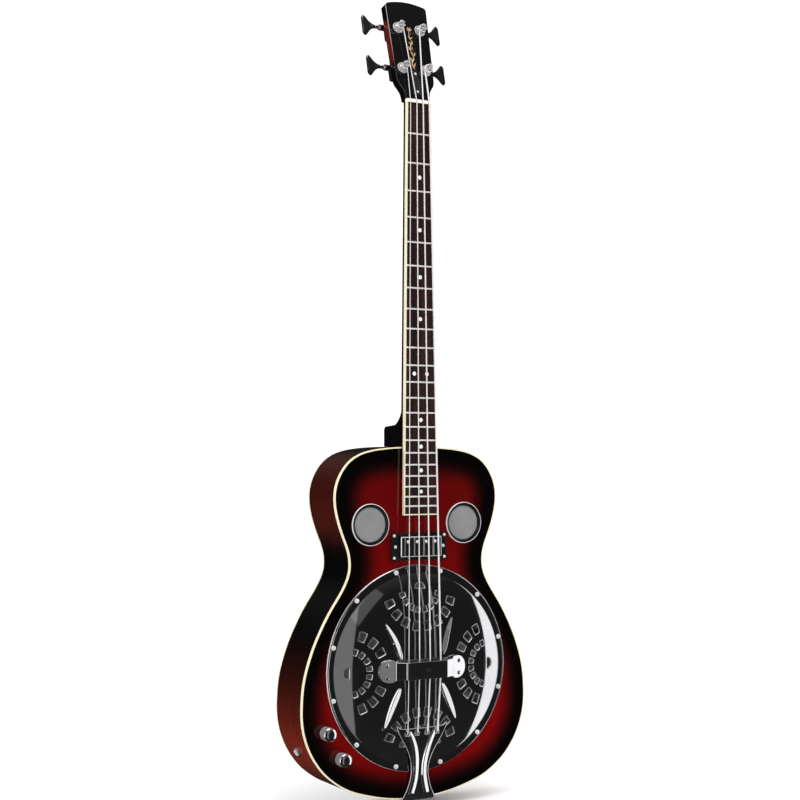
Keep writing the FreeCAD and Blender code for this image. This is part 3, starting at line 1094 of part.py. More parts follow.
# centre ornament let into the veneer: a stem with plain diamonds and leaves
orn = []
for (ox, oy, ow, ol) in ((0, 110.5, 3.2, 7.0), (0, 96.0, 2.4, 6.0), (0, 82.0, 3.4, 6.5), (0, 67.0, 2.6, 6.0), (0, 52.5, 2.0, 5.0)):
    q = [Vector(ox, oy - ol, -0.6), Vector(ox + ow, oy, -0.6), Vector(ox, oy + ol, -0.6), Vector(ox - ow, oy, -0.6)]
    orn.append(Part.Face(Part.makePolygon(q + [q[0]])).extrude(Vector(0, 0, 0.6)))
ven = ven.cut(vh[0].fuse(vh[1:])).cut(orn[0].fuse(orn[1:]))
ven = ven.removeSplitter()
print("veneer solids", len(ven.Solids))
keep(feature("headstock_veneer_f", max(ven.Solids, key=lambda q: q.Volume)), "headstock_veneer", HEAD)
keep(feature("headstock_inlay_f", Part.Compound(orn)), "headstock_inlay", HEAD)
# truss-rod cover: slim plate with a point at its upper end
tc = [Vector(-8.0, 8.0, 0.02), Vector(8.0, 8.0, 0.02), Vector(7.2, 24.0, 0.02), Vector(4.2, 38.0, 0.02), Vector(2.6, 45.0, 0.02), Vector(0, 47.0, 0.02), Vector(-2.6, 45.0, 0.02),
      Vector(-4.2, 38.0, 0.02), Vector(-7.2, 24.0, 0.02)]
trc = Part.Face(Part.makePolygon(tc + [tc[0]])).extrude(Vector(0, 0, 1.6))
for cx_, cy_ in COVER_SCREWS:
    trc = trc.cut(Part.makeCylinder(1.1, 7.0, Vector(cx_, cy_, -2.0)))
keep(feature("truss_rod_cover_f", trc), "truss_rod_cover", HEAD)
hs = []
for cx_, cy_ in COVER_SCREWS:
    s = Part.makeCylinder(1.1, 8.6, Vector(cx_, cy_, -7.0)).fuse(
        Part.makeSphere(2.7, Vector(cx_, cy_, 1.62 - 1.8)).common(Part.makeCylinder(1.95, 3, Vector(cx_, cy_, 1.62))))
    hs.append(s.cut(Part.makeBox(5, 0.5, 1, Vector(cx_ - 2.5, cy_ - 0.25, 2.1))).removeSplitter())
for px, ps in POSTS:
    s = Part.makeCylinder(1.2, 9.6, Vector(px, ps - 12.0, -HT - 1.6))
    h = Part.makeSphere(2.8, Vector(px, ps - 12.0, -HT - 1.6 + 1.7)).common(Part.makeCylinder(1.75, 3, Vector(px, ps - 12.0, -HT - 4.6)))
    hs.append(s.fuse(h).cut(Part.makeBox(5, 0.5, 1.4, Vector(px - 2.5, ps - 12.25, -HT - 3.6))).removeSplitter())
keep(feature("headstock_screws_f", Part.Compound(hs)), "headstock_screws", HEAD)

# ---------------------------------------------------------------- tuners
wdep, woff = D["worm_depth"], D["worm_offset"]
br_, prr, pw = D["bushing_radius"], D["post_radius"], D["post_waist"]
teeth, pitch = int(round(D["gear_teeth"])), D["worm_pitch"]
gear_pr = teeth * pitch / (2 * math.pi)
worm_pr = woff - gear_pr - 0.03
add, ded = 0.50, 0.72


def rack_tooth(width, height, base):
    return width, height, base


def worm_shape(length):
    """Worm along +X centred on the origin: core plus one helical thread."""
    core = Part.makeCylinder(worm_pr - ded, length, Vector(-length / 2, 0, 0), Vector(1, 0, 0))
    helix = Part.makeHelix(pitch, length - 2.2 * 1.0, worm_pr)
    helix.rotate(Vector(0, 0, 0), Vector(0, 1, 0), 90)
    helix.translate(Vector(-(length - 2.2) / 2, 0, 0))
    # thread section in the plane through the axis at the helix's start
    start = helix.Vertexes[0].Point
    radial = Vector(0, start.y, start.z)
    radial = unit(radial)
    x0 = start.x
    t_root, t_tip = 0.62, 0.26
    p = [radial * (worm_pr - ded - 0.12) + Vector(x0 - t_root, 0, 0), radial * (worm_pr + add) + Vector(x0 - t_tip, 0, 0),
         radial * (worm_pr + add) + Vector(x0 + t_tip, 0, 0), radial * (worm_pr - ded - 0.12) + Vector(x0 + t_root, 0, 0)]
    prof_w = Part.makePolygon(p + [p[0]])
    thread = Part.Wire(helix.Edges).makePipeShell([prof_w], True, True)
    return core.fuse(thread), start


def gear_shape(face):
    """Worm wheel about z: teeth leaned to the worm's lead angle."""
    body_g = Part.makeCylinder(gear_pr - ded, face, Vector(0, 0, -face / 2))
    lead = math.atan2(pitch, 2 * math.pi * worm_pr)
    shapes = []
    for i in range(teeth):
        base_a = 2 * math.pi * i / teeth
        wires_g = []
        for zz in (-face / 2, face / 2):
            shift = zz * math.tan(lead)
            a = base_a + shift / gear_pr
            ur, ut = Vector(math.cos(a), math.sin(a), 0), Vector(-math.sin(a), math.cos(a), 0)
            t_r, t_t = 0.60, 0.20
            p = [ur * (gear_pr - ded - 0.15) + ut * -t_r, ur * (gear_pr + add) + ut * -t_t, ur * (gear_pr + add) + ut * t_t,
                 ur * (gear_pr - ded - 0.15) + ut * t_r]
            p = [q + Vector(0, 0, zz) for q in p]
            wires_g.append(Part.makePolygon(p + [p[0]]))
        shapes.append(Part.makeLoft(wires_g, True, True))
    return body_g.fuse(shapes)


WORM_LEN = 9.0
worm_proto, worm_start = worm_shape(WORM_LEN)
gear_proto = gear_shape(3.4)
print("worm", worm_proto.isValid(), len(worm_proto.Solids), "gear", gear_proto.isValid(), len(gear_proto.Solids), "pitch radii", round(gear_pr, 3), round(worm_pr, 3))

housings, bushings = [], []
for k, (px, ps) in enumerate(POSTS, start=1):
    sx = -1 if px < 0 else 1
    # post with its worm wheel
    post = Part.makeCylinder(prr, D["post_top"] - 11.0 + 0.0, Vector(px, ps, 11.0))
    post = Part.makeCylinder(5.0, D["post_top"] - 10.4, Vector(px, ps, 10.4))
    try:
        post = post.makeFillet(0.9, [e for e in post.Edges if abs(e.BoundBox.ZMin - D["post_top"]) < 0.01 and abs(e.BoundBox.ZMax - D["post_top"]) < 0.01])
    except Exception as err:
        print("post fillet skipped", err)
    post = post.fuse([Part.makeCylinder(pw, 7.0, Vector(px, ps, 4.0)),
                      Part.makeCylinder(4.9, 1.2, Vector(px, ps, 3.4)),
                      Part.makeCylinder(prr, 26.4, Vector(px, ps, -22.4)),
                      Part.makeCylinder(2.4, 3.4, Vector(px, ps, -25.6))])
    # slot across the head and a hole down its middle for the string's end
    post = post.cut(Part.makeBox(14, 3.0, 7.5, Vector(px - 7, ps - 1.5, D["post_top"] - 5.2)))
    post = post.cut(Part.makeCylinder(1.5, 12, Vector(px, ps, D["post_top"] - 9.0)))
    gear = gear_proto.copy()
    # tooth gap faces the worm, which lies at +y of the post
    gear.rotate(Vector(0, 0, 0), Vector(0, 0, 1), 90 + 180.0 / teeth)
    gear.translate(Vector(px, ps, -wdep))
    post = post.fuse(gear).removeSplitter()
    keep(feature("string_post_%d_f" % k, post), "string_post_%d" % k, HEAD)
    # key with its worm shaft, along x
    worm = worm_proto.copy()
    # turn the worm so that a thread crest at x = 0 faces the wheel
    phase = (0.0 - worm_start.x) / pitch * 360.0
    ang0 = math.degrees(math.atan2(worm_start.z, worm_start.y))
    hand_here = ang0 + phase
    worm.rotate(Vector(0, 0, 0), Vector(1, 0, 0), 180.0 - hand_here)
    ax_y, ax_z = ps + woff, -wdep
    worm.translate(Vector(px, ax_y, ax_z))
    reach = D["key_reach"]
    x_in = px - sx * 8.6
    x_key = sx * 42.5
    rod_len = abs(x_key - x_in)
    shaft_k = Part.makeCylinder(worm_pr - ded, rod_len, Vector(x_in, ax_y, ax_z), Vector(sx, 0, 0))
    stem = Part.makeCone(3.4, 2.7, 9.0, Vector(sx * 36.9, ax_y, ax_z), Vector(sx, 0, 0))
    stem = stem.fuse(Part.makeCylinder(3.9, 1.6, Vector(sx * 36.9, ax_y, ax_z), Vector(sx, 0, 0)))
    hs_ = D["key_half_span"]
    kp = [(42.0, 2.2), (46.0, 2.7), (50.5, 4.6), (55.0, 8.6), (59.5, 13.6), (61.2, 15.2), (63.4, hs_), (65.6, 15.0), (reach - 0.1, 12.6), (reach - 0.6, 6.0), (reach - 1.2, 0.0)]
    cu = Part.BSplineCurve()
    cu.interpolate(Points=[Vector(sx * a_, b_, 0) for a_, b_ in kp])
    cl_ = Part.BSplineCurve()
    cl_.interpolate(Points=[Vector(sx * a_, -b_, 0) for a_, b_ in kp])
    key_wire = Part.Wire(Part.__sortEdges__([cu.toShape(), cl_.toShape(),
                         Part.LineSegment(Vector(sx * 42.0, 2.2, 0), Vector(sx * 42.0, -2.2, 0)).toShape()]))
    blade = Part.Face(key_wire).extrude(Vector(0, 0, 3.4))
    blade.translate(Vector(0, ax_y, ax_z - 1.7))
    key = worm.fuse([shaft_k, stem, blade]).removeSplitter()
    if len(key.Solids) != 1:
        print("key", k, "solids", len(key.Solids))
    keep(feature("tuner_key_%d_f" % k, key), "tuner_key_%d" % k, HEAD)
    # cast housing on the back of the headstock, hollow round the gears
    # its outer wall stands close to the worm, well inside the headstock's edge
    hx0, hx1 = (px - 8.6, px + 11.2) if sx < 0 else (px - 11.2, px + 8.6)
    hy0, hy1 = ps - 10.2, ps + 14.4
    hzt, hzb = -HT, -HT - 15.2
    outer_h = Part.makeBox(hx1 - hx0, hy1 - hy0, hzt - hzb, Vector(hx0, hy0, hzb))
    sel = [e for e in outer_h.Edges if (e.BoundBox.ZLength > 10) or (e.BoundBox.ZMax < hzb + 0.01)]
    try:
        outer_h = outer_h.makeFillet(3.0, sel)
    except Exception as err:
        print("housing fillet skipped", err)
    boss_len = abs(sx * 36.6 - (hx1 if sx > 0 else hx0)) + 2.0
    outer_h = outer_h.fuse(Part.makeCylinder(4.6, boss_len, Vector(sx * 36.6, ax_y, ax_z), Vector(-sx, 0, 0)))
    ear = Part.makeCylinder(4.2, 1.6, Vector(px, ps - 12.0, -HT - 1.6)).fuse(Part.makeBox(8.4, 4, 1.6, Vector(px - 4.2, ps - 12.0, -HT - 1.6)))
    outer_h = outer_h.fuse(ear)
    cav = Part.makeBox(hx1 - hx0 - 3.0, (hy1 - 1.4) - (hy0 + 1.4), 11.4, Vector(hx0 + 1.5, hy0 + 1.4, -HT - 1.8 - 11.4))
    outer_h = outer_h.cut(cav)
    outer_h = outer_h.cut(Part.makeCylinder(prr + rc, 10, Vector(px, ps, -HT - 5)))
    outer_h = outer_h.cut(Part.makeCylinder(2.4 + rc, 3.0, Vector(px, ps, hzb + 0.9)))
    outer_h = outer_h.cut(Part.makeCylinder(worm_pr - ded + rc, 60, Vector(px, ax_y, ax_z), Vector(sx, 0, 0)))
    outer_h = outer_h.cut(Part.makeCylinder(1.2, 6, Vector(px, ps - 12.0, -HT - 4)))
    housings.append(outer_h.removeSplitter())
    # bushing pressed through the headstock, with its washer and hex nut on the face
    tube_b = Part.makeCylinder(br_, HT + 2.8, Vector(px, ps, -HT))
    hexb = [Vector(px + 8.0 * math.cos(math.radians(60 * i + 30)), ps + 8.0 * math.sin(math.radians(60 * i + 30)), 0.9) for i in range(6)]
    nutb = Part.Face(Part.makePolygon(hexb + [hexb[0]])).extrude(Vector(0, 0, 2.2))
    bush = tube_b.fuse([nutb, Part.makeCylinder(8.6, 0.9, Vector(px, ps, 0))])
    bush = bush.cut(Part.makeCylinder(prr + rc, 60, Vector(px, ps, -30)))
    bushings.append(bush.removeSplitter())
keep(feature("tuner_housings_f", Part.Compound(housings)), "tuner_housings", HEAD)
keep(feature("tuner_bushings_f", Part.Compound(bushings)), "tuner_bushings", HEAD)

# ---------------------------------------------------------------- check and write
doc.recompute()
bad = []
for obj in doc.Objects:
    if "Invalid" in obj.State or "Error" in obj.State:
        bad.append((obj.Name, obj.State))
labels = set()
for obj in PARTS:
    shape = obj.Shape
    if shape.isNull() or not shape.isValid() or not shape.Solids or shape.Volume <= 0:
        bad.append((obj.Label, "null" if shape.isNull() else "invalid or empty"))
    if obj.Label in labels:
        bad.append((obj.Label, "label used twice"))
    labels.add(obj.Label)
if bad:
    raise RuntimeError("failed pieces: %s" % bad)
for obj in PARTS:
    obj.Shape.exportStep(os.path.join("parts", obj.Label + ".step"))
print("pieces", len(PARTS))
for obj in PARTS:
    bb = obj.Shape.BoundBox
    print("%-22s solids %2d vol %9.1f  x %7.1f %7.1f  y %7.1f %7.1f  z %7.1f %7.1f" % (
        obj.Label, len(obj.Shape.Solids), obj.Shape.Volume, bb.XMin, bb.XMax, bb.YMin, bb.YMax, bb.ZMin, bb.ZMax))
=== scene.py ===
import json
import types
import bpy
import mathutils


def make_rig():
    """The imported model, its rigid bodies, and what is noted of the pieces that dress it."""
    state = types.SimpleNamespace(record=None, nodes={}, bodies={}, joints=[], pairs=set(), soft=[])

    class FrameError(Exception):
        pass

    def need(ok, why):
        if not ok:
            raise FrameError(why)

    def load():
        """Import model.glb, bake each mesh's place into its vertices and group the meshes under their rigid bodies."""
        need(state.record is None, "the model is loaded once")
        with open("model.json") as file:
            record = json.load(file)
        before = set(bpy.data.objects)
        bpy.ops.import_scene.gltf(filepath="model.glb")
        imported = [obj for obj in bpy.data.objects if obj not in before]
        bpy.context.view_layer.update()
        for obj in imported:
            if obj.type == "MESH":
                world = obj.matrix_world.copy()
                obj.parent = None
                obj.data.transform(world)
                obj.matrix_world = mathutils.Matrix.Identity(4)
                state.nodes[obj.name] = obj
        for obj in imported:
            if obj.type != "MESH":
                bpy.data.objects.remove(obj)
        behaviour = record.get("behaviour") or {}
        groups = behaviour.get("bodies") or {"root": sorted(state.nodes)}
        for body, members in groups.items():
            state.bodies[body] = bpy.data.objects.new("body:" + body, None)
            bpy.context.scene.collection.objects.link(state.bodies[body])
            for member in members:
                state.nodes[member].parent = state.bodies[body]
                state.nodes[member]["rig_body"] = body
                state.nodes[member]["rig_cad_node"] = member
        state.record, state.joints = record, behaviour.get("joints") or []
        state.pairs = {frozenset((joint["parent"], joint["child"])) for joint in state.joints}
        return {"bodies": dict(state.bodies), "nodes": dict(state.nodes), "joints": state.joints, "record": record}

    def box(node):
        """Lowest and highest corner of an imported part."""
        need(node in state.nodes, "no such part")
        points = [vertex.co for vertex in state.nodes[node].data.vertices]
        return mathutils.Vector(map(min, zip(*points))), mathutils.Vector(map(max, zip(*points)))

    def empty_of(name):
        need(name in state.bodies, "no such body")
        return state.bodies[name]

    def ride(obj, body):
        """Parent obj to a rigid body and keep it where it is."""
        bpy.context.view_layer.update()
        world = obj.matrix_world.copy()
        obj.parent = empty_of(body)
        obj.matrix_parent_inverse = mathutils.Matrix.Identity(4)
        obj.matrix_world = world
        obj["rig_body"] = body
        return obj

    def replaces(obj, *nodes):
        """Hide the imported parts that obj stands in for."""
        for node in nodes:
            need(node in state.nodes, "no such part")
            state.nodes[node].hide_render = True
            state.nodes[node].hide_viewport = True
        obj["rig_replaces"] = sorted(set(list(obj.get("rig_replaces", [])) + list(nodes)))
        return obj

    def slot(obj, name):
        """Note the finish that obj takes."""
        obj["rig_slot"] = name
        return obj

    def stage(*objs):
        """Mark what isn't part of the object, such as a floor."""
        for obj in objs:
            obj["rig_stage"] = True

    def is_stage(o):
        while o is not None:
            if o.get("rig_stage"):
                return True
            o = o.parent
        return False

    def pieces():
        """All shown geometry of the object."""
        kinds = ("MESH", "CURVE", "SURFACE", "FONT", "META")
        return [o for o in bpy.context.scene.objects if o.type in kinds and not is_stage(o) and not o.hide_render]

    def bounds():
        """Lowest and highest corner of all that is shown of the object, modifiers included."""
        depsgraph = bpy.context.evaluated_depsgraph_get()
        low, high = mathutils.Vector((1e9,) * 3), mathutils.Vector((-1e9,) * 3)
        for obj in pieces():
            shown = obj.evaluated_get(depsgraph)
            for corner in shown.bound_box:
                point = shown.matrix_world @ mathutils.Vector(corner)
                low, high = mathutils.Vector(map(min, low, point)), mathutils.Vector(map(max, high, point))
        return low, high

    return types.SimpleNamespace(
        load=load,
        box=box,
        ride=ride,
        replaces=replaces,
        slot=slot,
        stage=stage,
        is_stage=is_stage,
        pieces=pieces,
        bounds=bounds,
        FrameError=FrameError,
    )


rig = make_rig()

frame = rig.load()

import json
import math
import random

import bmesh
import bpy
import numpy as np
from mathutils import Matrix, Quaternion, Vector
from mathutils.geometry import delaunay_2d_cdt

# Looks of a four-string resonator bass. Metres; X right, -Y front, +Z up the neck.
random.seed(11)
rng = np.random.default_rng(11)
NODES = frame["nodes"]


def plain(value):
    try:
        return float(value)
    except TypeError:
        return [plain(v) for v in value]


cad_box = plain(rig.bounds())
MM = 0.001
scene = bpy.context.scene


# ------------------------------------------------------------------ materials
class Mat:
    """A Principled material with small helpers for its nodes."""

    def __init__(self, name):
        self.m = bpy.data.materials.new(name)
        self.m.use_nodes = True
        self.t = self.m.node_tree
        self.t.nodes.clear()
        self.out = self.t.nodes.new("ShaderNodeOutputMaterial")
        self.b = self.t.nodes.new("ShaderNodeBsdfPrincipled")
        self.t.links.new(self.b.outputs[0], self.out.inputs[0])

    def put(self, socket, value):
        if isinstance(value, bpy.types.NodeSocket):
            self.t.links.new(value, socket)
        elif isinstance(value, (tuple, list)) and len(value) == 3 and socket.type == "RGBA":
            socket.default_value = (*value, 1.0)
        else:
            socket.default_value = value

    def set(self, **kw):
        for k, v in kw.items():
            self.put(self.b.inputs[k.replace("_", " ")], v)
        return self

    def node(self, kind, out=0, props=None, **kw):
        n = self.t.nodes.new(kind)
        for k, v in (props or {}).items():
            setattr(n, k, v)
        for k, v in kw.items():
            key = int(k[1:]) if k[0] == "i" and k[1:].isdigit() else k.replace("_", " ")
            self.put(n.inputs[key], v)
        return n.outputs[out]

    def coords(self):
        return self.node("ShaderNodeTexCoord", "Object")

    def scaled(self, vec, scale):
        return self.node("ShaderNodeMapping", 0, None, Vector=vec, Scale=scale)

    def noise(self, vec, scale, detail=4.0, rough=0.55, out=0, distortion=0.0):
        return self.node("ShaderNodeTexNoise", out, None, Vector=vec, Scale=scale, Detail=detail, Roughness=rough, Distortion=distortion)

    def ramp(self, fac, stops, interp="LINEAR"):
        n = self.t.nodes.new("ShaderNodeValToRGB")
        n.color_ramp.interpolation = interp
        while len(n.color_ramp.elements) < len(stops):
            n.color_ramp.elements.new(0.5)
        for e, (p, c) in zip(n.color_ramp.elements, stops):
            e.position = p
            e.color = (*c, 1.0) if len(c) == 3 else c
        self.t.links.new(fac, n.inputs[0])
        return n.outputs[0]

    def mix(self, fac, a, b, blend="MIX"):
        n = self.t.nodes.new("ShaderNodeMix")
        n.data_type = "RGBA"
        n.blend_type = blend
        self.put(n.inputs[0], fac)
        self.put(n.inputs[6], a if isinstance(a, bpy.types.NodeSocket) else (*a, 1.0))
        self.put(n.inputs[7], b if isinstance(b, bpy.types.NodeSocket) else (*b, 1.0))
        return n.outputs[2]

    def math(self, op, a, b=0.0, c=None, clamp=False):
        n = self.t.nodes.new("ShaderNodeMath")
        n.operation = op
        n.use_clamp = clamp
        self.put(n.inputs[0], a)
        self.put(n.inputs[1], b)
        if c is not None:
            self.put(n.inputs[2], c)
        return n.outputs[0]

    def remap(self, v, a, b, c, d):
        n = self.t.nodes.new("ShaderNodeMapRange")
        n.clamp = True
        for i, x in enumerate((v, a, b, c, d)):
            self.put(n.inputs[i], x)
        return n.outputs[0]

    def bump(self, height, strength, distance=0.0002, normal=None):
        n = self.t.nodes.new("ShaderNodeBump")
        self.put(n.inputs["Strength"], strength)
        self.put(n.inputs["Distance"], distance)
        self.t.links.new(height, n.inputs["Height"])
        if normal is not None:
            self.t.links.new(normal, n.inputs["Normal"])
        return n.outputs[0]

    def xyz(self, vec):
        n = self.t.nodes.new("ShaderNodeSeparateXYZ")
        self.t.links.new(vec, n.inputs[0])
        return n.outputs[0], n.outputs[1], n.outputs[2]


def metal(name, color, rough, spread=0.05, tint=0.06, brushed=None, scratch=0.15, specks=0.0, metallic=1.0):
    m = Mat(name)
    v = m.coords()
    cloud = m.noise(v, 22.0, 5.0)
    fine = m.noise(v, 260.0, 3.0)
    scr = m.noise(m.scaled(v, (900.0, 900.0, 40.0)) if brushed is None else m.scaled(v, brushed), 1.0, 4.0)
    dark = tuple(c * (1.0 - tint * 2.2) for c in color)
    col = m.mix(m.remap(cloud, 0.35, 0.7, 0.0, 1.0), color, dark)
    if specks:
        col = m.mix(m.remap(m.noise(v, 900.0, 2.0), 0.70, 0.78, 0.0, specks), col, tuple(c * 0.25 for c in color))
    r = m.math("ADD", m.remap(cloud, 0.3, 0.75, rough, rough + spread), m.remap(scr, 0.5, 0.8, 0.0, spread * 0.6))
    m.set(Base_Color=col, Metallic=metallic, Roughness=r)
    m.set(Normal=m.bump(m.math("ADD", fine, m.math("MULTIPLY", scr, 0.6)), scratch, 0.00001))
    return m.m


def lacquer_coat(m, v, rough=0.035, peel=0.10):
    orange = m.noise(v, 190.0, 2.0)
    swirl = m.noise(m.scaled(v, (500.0, 500.0, 18.0)), 1.0, 3.0)
    m.set(Coat_Weight=1.0, Coat_IOR=1.5, Coat_Roughness=m.math("ADD", m.remap(orange, 0.3, 0.7, rough * 0.7, rough * 1.3), m.remap(swirl, 0.62, 0.8, 0.0, 0.02)))
    m.set(Coat_Normal=m.bump(orange, peel, 0.00002))


def flame(m, v):
    """Grain of a maple or mahogany face running along Z, with faint cross figure."""
    grain = m.noise(m.scaled(v, (340.0, 340.0, 9.0)), 1.0, 6.0, 0.6, distortion=0.4)
    pores = m.noise(m.scaled(v, (900.0, 900.0, 45.0)), 1.0, 2.0)
    curl = m.noise(m.scaled(v, (14.0, 14.0, 70.0)), 1.0, 3.0, 0.5, distortion=0.7)
    return grain, pores, curl


def lacquered_burst(name, red, deep, black=(0.0006, 0.0005, 0.0005), start=0.014, end=0.052, widen=0.0, painted_shade=0.0):
    m = Mat(name)
    v = m.coords()
    grain, pores, curl = flame(m, v)
    edge = m.node("ShaderNodeAttribute", "Fac", {"attribute_name": "edge_distance"})
    wobble = m.math("MULTIPLY", m.math("SUBTRACT", m.noise(v, 9.0, 2.0), 0.5), 0.006)
    e = m.math("ADD", edge, wobble)
    if widen:
        e = m.math("ADD", e, m.remap(m.xyz(v)[2], 0.30, 0.18, 0.0, widen))
    fade = m.ramp(m.remap(e, start, end, 0.0, 1.0), [(0.0, (0, 0, 0)), (0.28, (0.035,) * 3), (0.55, (0.30,) * 3), (0.8, (0.78,) * 3), (1.0, (1, 1, 1))], "B_SPLINE")
    wood = m.mix(m.remap(grain, 0.32, 0.72, 0.0, 0.65), red, deep)
    wood = m.mix(m.remap(curl, 0.4, 0.75, 0.0, 0.30), wood, tuple(c * 0.62 for c in red))
    wood = m.mix(m.remap(pores, 0.62, 0.78, 0.0, 0.35), wood, tuple(c * 0.35 for c in deep))
    # painted shade: the top is darkened towards the neck end, by height
    if painted_shade:
        wood = m.mix(m.remap(m.xyz(v)[2], 0.24, 0.44, 0.0, painted_shade), wood, tuple(c * 0.1 for c in deep))
    col = m.mix(fade, black, wood)
    m.set(Base_Color=col, Roughness=m.remap(grain, 0.3, 0.7, 0.30, 0.42), Specular_IOR_Level=0.02)
    m.set(Normal=m.bump(grain, 0.06, 0.00005))
    lacquer_coat(m, v)
    return m.m


def rim_lacquer(name):
    m = Mat(name)
    v = m.coords()
    x, y, z = m.xyz(v)
    grain, pores, curl = flame(m, v)
    zz = m.math("ADD", z, m.math("MULTIPLY", m.math("SUBTRACT", m.noise(v, 7.0, 2.0), 0.5), 0.012))
    t = m.remap(zz, 0.0, 0.5046, 0.0, 1.0)
    k = lambda mm_: mm_ / 504.6
    # painted light and shade over the red lacquer: the rim is made lighter and darker in bands by height, bright on the
    # lower bout and black through the waist and near the top
    rim_light_levels = [(0, 0.40), (35, 0.70), (59, 0.95), (79, 0.86), (99, 0.68), (118, 0.45), (138, 0.33), (158, 0.21), (178, 0.12), (198, 0.065), (218, 0.03), (248, 0.0),
              (335, 0.0), (352, 0.012), (362, 0.05), (374, 0.15), (386, 0.25), (399, 0.29), (412, 0.27), (425, 0.24), (439, 0.19), (465, 0.19), (480, 0.24), (494, 0.12), (504.6, 0.02)]
    band = m.ramp(t, [(k(a_), (b_,) * 3) for a_, b_ in rim_light_levels])
    wood = m.mix(m.remap(grain, 0.32, 0.72, 0.0, 0.7), (0.215, 0.0195, 0.0065), (0.105, 0.0085, 0.0035))
    wood = m.mix(m.remap(pores, 0.62, 0.78, 0.0, 0.35), wood, (0.03, 0.004, 0.002))
    edge = m.math("MULTIPLY", m.remap(y, -0.0370, -0.0335, 0.0, 1.0), m.remap(y, 0.0375, 0.0320, 0.0, 1.0))
    col = m.mix(m.math("MULTIPLY", band, m.remap(edge, 0.0, 1.0, 0.25, 1.0)), (0.0007, 0.0006, 0.0006), wood)
    m.set(Base_Color=col, Roughness=m.remap(grain, 0.3, 0.7, 0.32, 0.44), Specular_IOR_Level=0.02)
    m.set(Normal=m.bump(grain, 0.06, 0.00005))
    lacquer_coat(m, v, 0.05, 0.14)
    return m.m


def neck_lacquer(name):
    m = Mat(name)
    v = m.coords()
    x, y, z = m.xyz(v)
    grain, pores, curl = flame(m, v)
    wood = m.mix(m.remap(grain, 0.32, 0.72, 0.0, 0.7), (0.115, 0.008, 0.004), (0.055, 0.004, 0.002))
    black = m.mix(m.remap(grain, 0.4, 0.7, 0.0, 1.0), (0.0012, 0.0010, 0.0010), (0.0040, 0.0018, 0.0014))
    side = m.node("ShaderNodeNewGeometry", "Normal")
    nx, ny, nz = m.xyz(side)
    on_side = m.remap(m.math("ABSOLUTE", nx), 0.55, 0.85, 0.0, 1.0)
    along = m.math("MULTIPLY", m.remap(z, 1.058, 1.070, 0.0, 1.0), m.remap(z, 1.134, 1.124, 0.0, 1.0))
    col = m.mix(m.math("MULTIPLY", on_side, along), black, wood)
    m.set(Base_Color=col, Roughness=0.38, Specular_IOR_Level=0.02)
    m.set(Normal=m.bump(grain, 0.05, 0.00004))
    lacquer_coat(m, v, 0.04)
    return m.m


def face_black(name):
    m = Mat(name)
    v = m.coords()
    grain, pores, curl = flame(m, v)
    col = m.mix(m.remap(grain, 0.4, 0.7, 0.0, 1.0), (0.0010, 0.0009, 0.0009), (0.0030, 0.0022, 0.0020))
    # painted highlight: pale grey painted on the long bevelled edge, where the edge catches the light; stronger towards
    # the top, broken up by noise
    x, y, z = m.xyz(v)
    nx, ny, nz = m.xyz(m.node("ShaderNodeNewGeometry", "Normal"))
    bevel = m.math("MULTIPLY", m.remap(nx, -0.14, -0.30, 0.0, 1.0), m.remap(nz, 0.80, 0.60, 0.0, 1.0))
    painted_edge_highlight = m.math("MULTIPLY", bevel, m.remap(z, 1.060, 1.105, 0.12, 1.0))
    painted_edge_highlight = m.math("MULTIPLY", painted_edge_highlight, m.remap(m.noise(v, 120.0, 3.0), 0.25, 0.45, 0.55, 1.0))
    col = m.mix(painted_edge_highlight, col, (0.40, 0.385, 0.37))
    m.set(Base_Color=col, Roughness=0.35, Specular_IOR_Level=0.02)
    lacquer_coat(m, v, 0.025, 0.06)
    return m.m


def binding_plastic(name):
    m = Mat(name)
    v = m.coords()
    cloud = m.noise(v, 30.0, 4.0)
    fine = m.noise(m.scaled(v, (60.0, 900.0, 60.0)), 1.0, 3.0)
    col = m.mix(m.remap(cloud, 0.3, 0.7, 0.0, 1.0), (0.74, 0.665, 0.44), (0.80, 0.735, 0.53))
    col = m.mix(m.remap(fine, 0.6, 0.8, 0.0, 0.25), col, (0.62, 0.50, 0.28))
    m.set(Base_Color=col, Roughness=m.remap(cloud, 0.3, 0.7, 0.22, 0.36), Subsurface_Weight=0.12, Subsurface_Radius=(0.0012, 0.0008, 0.0004), Subsurface_Scale=1.0)
    m.set(Normal=m.bump(fine, 0.05, 0.00003))
    m.set(Coat_Weight=0.6, Coat_Roughness=0.08)
    return m.m


def rosewood(name):
    m = Mat(name)
    v = m.coords()
    broad = m.noise(m.scaled(v, (150.0, 150.0, 3.5)), 1.0, 5.0, 0.6, distortion=0.8)
    streak = m.noise(m.scaled(v, (620.0, 620.0, 11.0)), 1.0, 6.0, 0.65, distortion=0.3)
    pores = m.noise(m.scaled(v, (2400.0, 2400.0, 110.0)), 1.0, 2.0, 0.5)
    col = m.ramp(broad, [(0.30, (0.0065, 0.0030, 0.0026)), (0.48, (0.021, 0.0072, 0.0052)), (0.62, (0.036, 0.0125, 0.0080)), (0.80, (0.012, 0.0048, 0.0038))])
    col = m.mix(m.remap(streak, 0.50, 0.72, 0.0, 0.75), col, (0.0045, 0.0022, 0.0020))
    col = m.mix(m.remap(pores, 0.60, 0.70, 0.0, 0.8), col, (0.0020, 0.0012, 0.0010))
    m.set(Base_Color=col, Roughness=m.remap(streak, 0.3, 0.7, 0.38, 0.58), Specular_IOR_Level=0.20)
    m.set(Normal=m.bump(m.math("SUBTRACT", m.math("MULTIPLY", streak, 0.4), m.remap(pores, 0.60, 0.70, 0.0, 1.0)), 0.35, 0.00006))
    return m.m


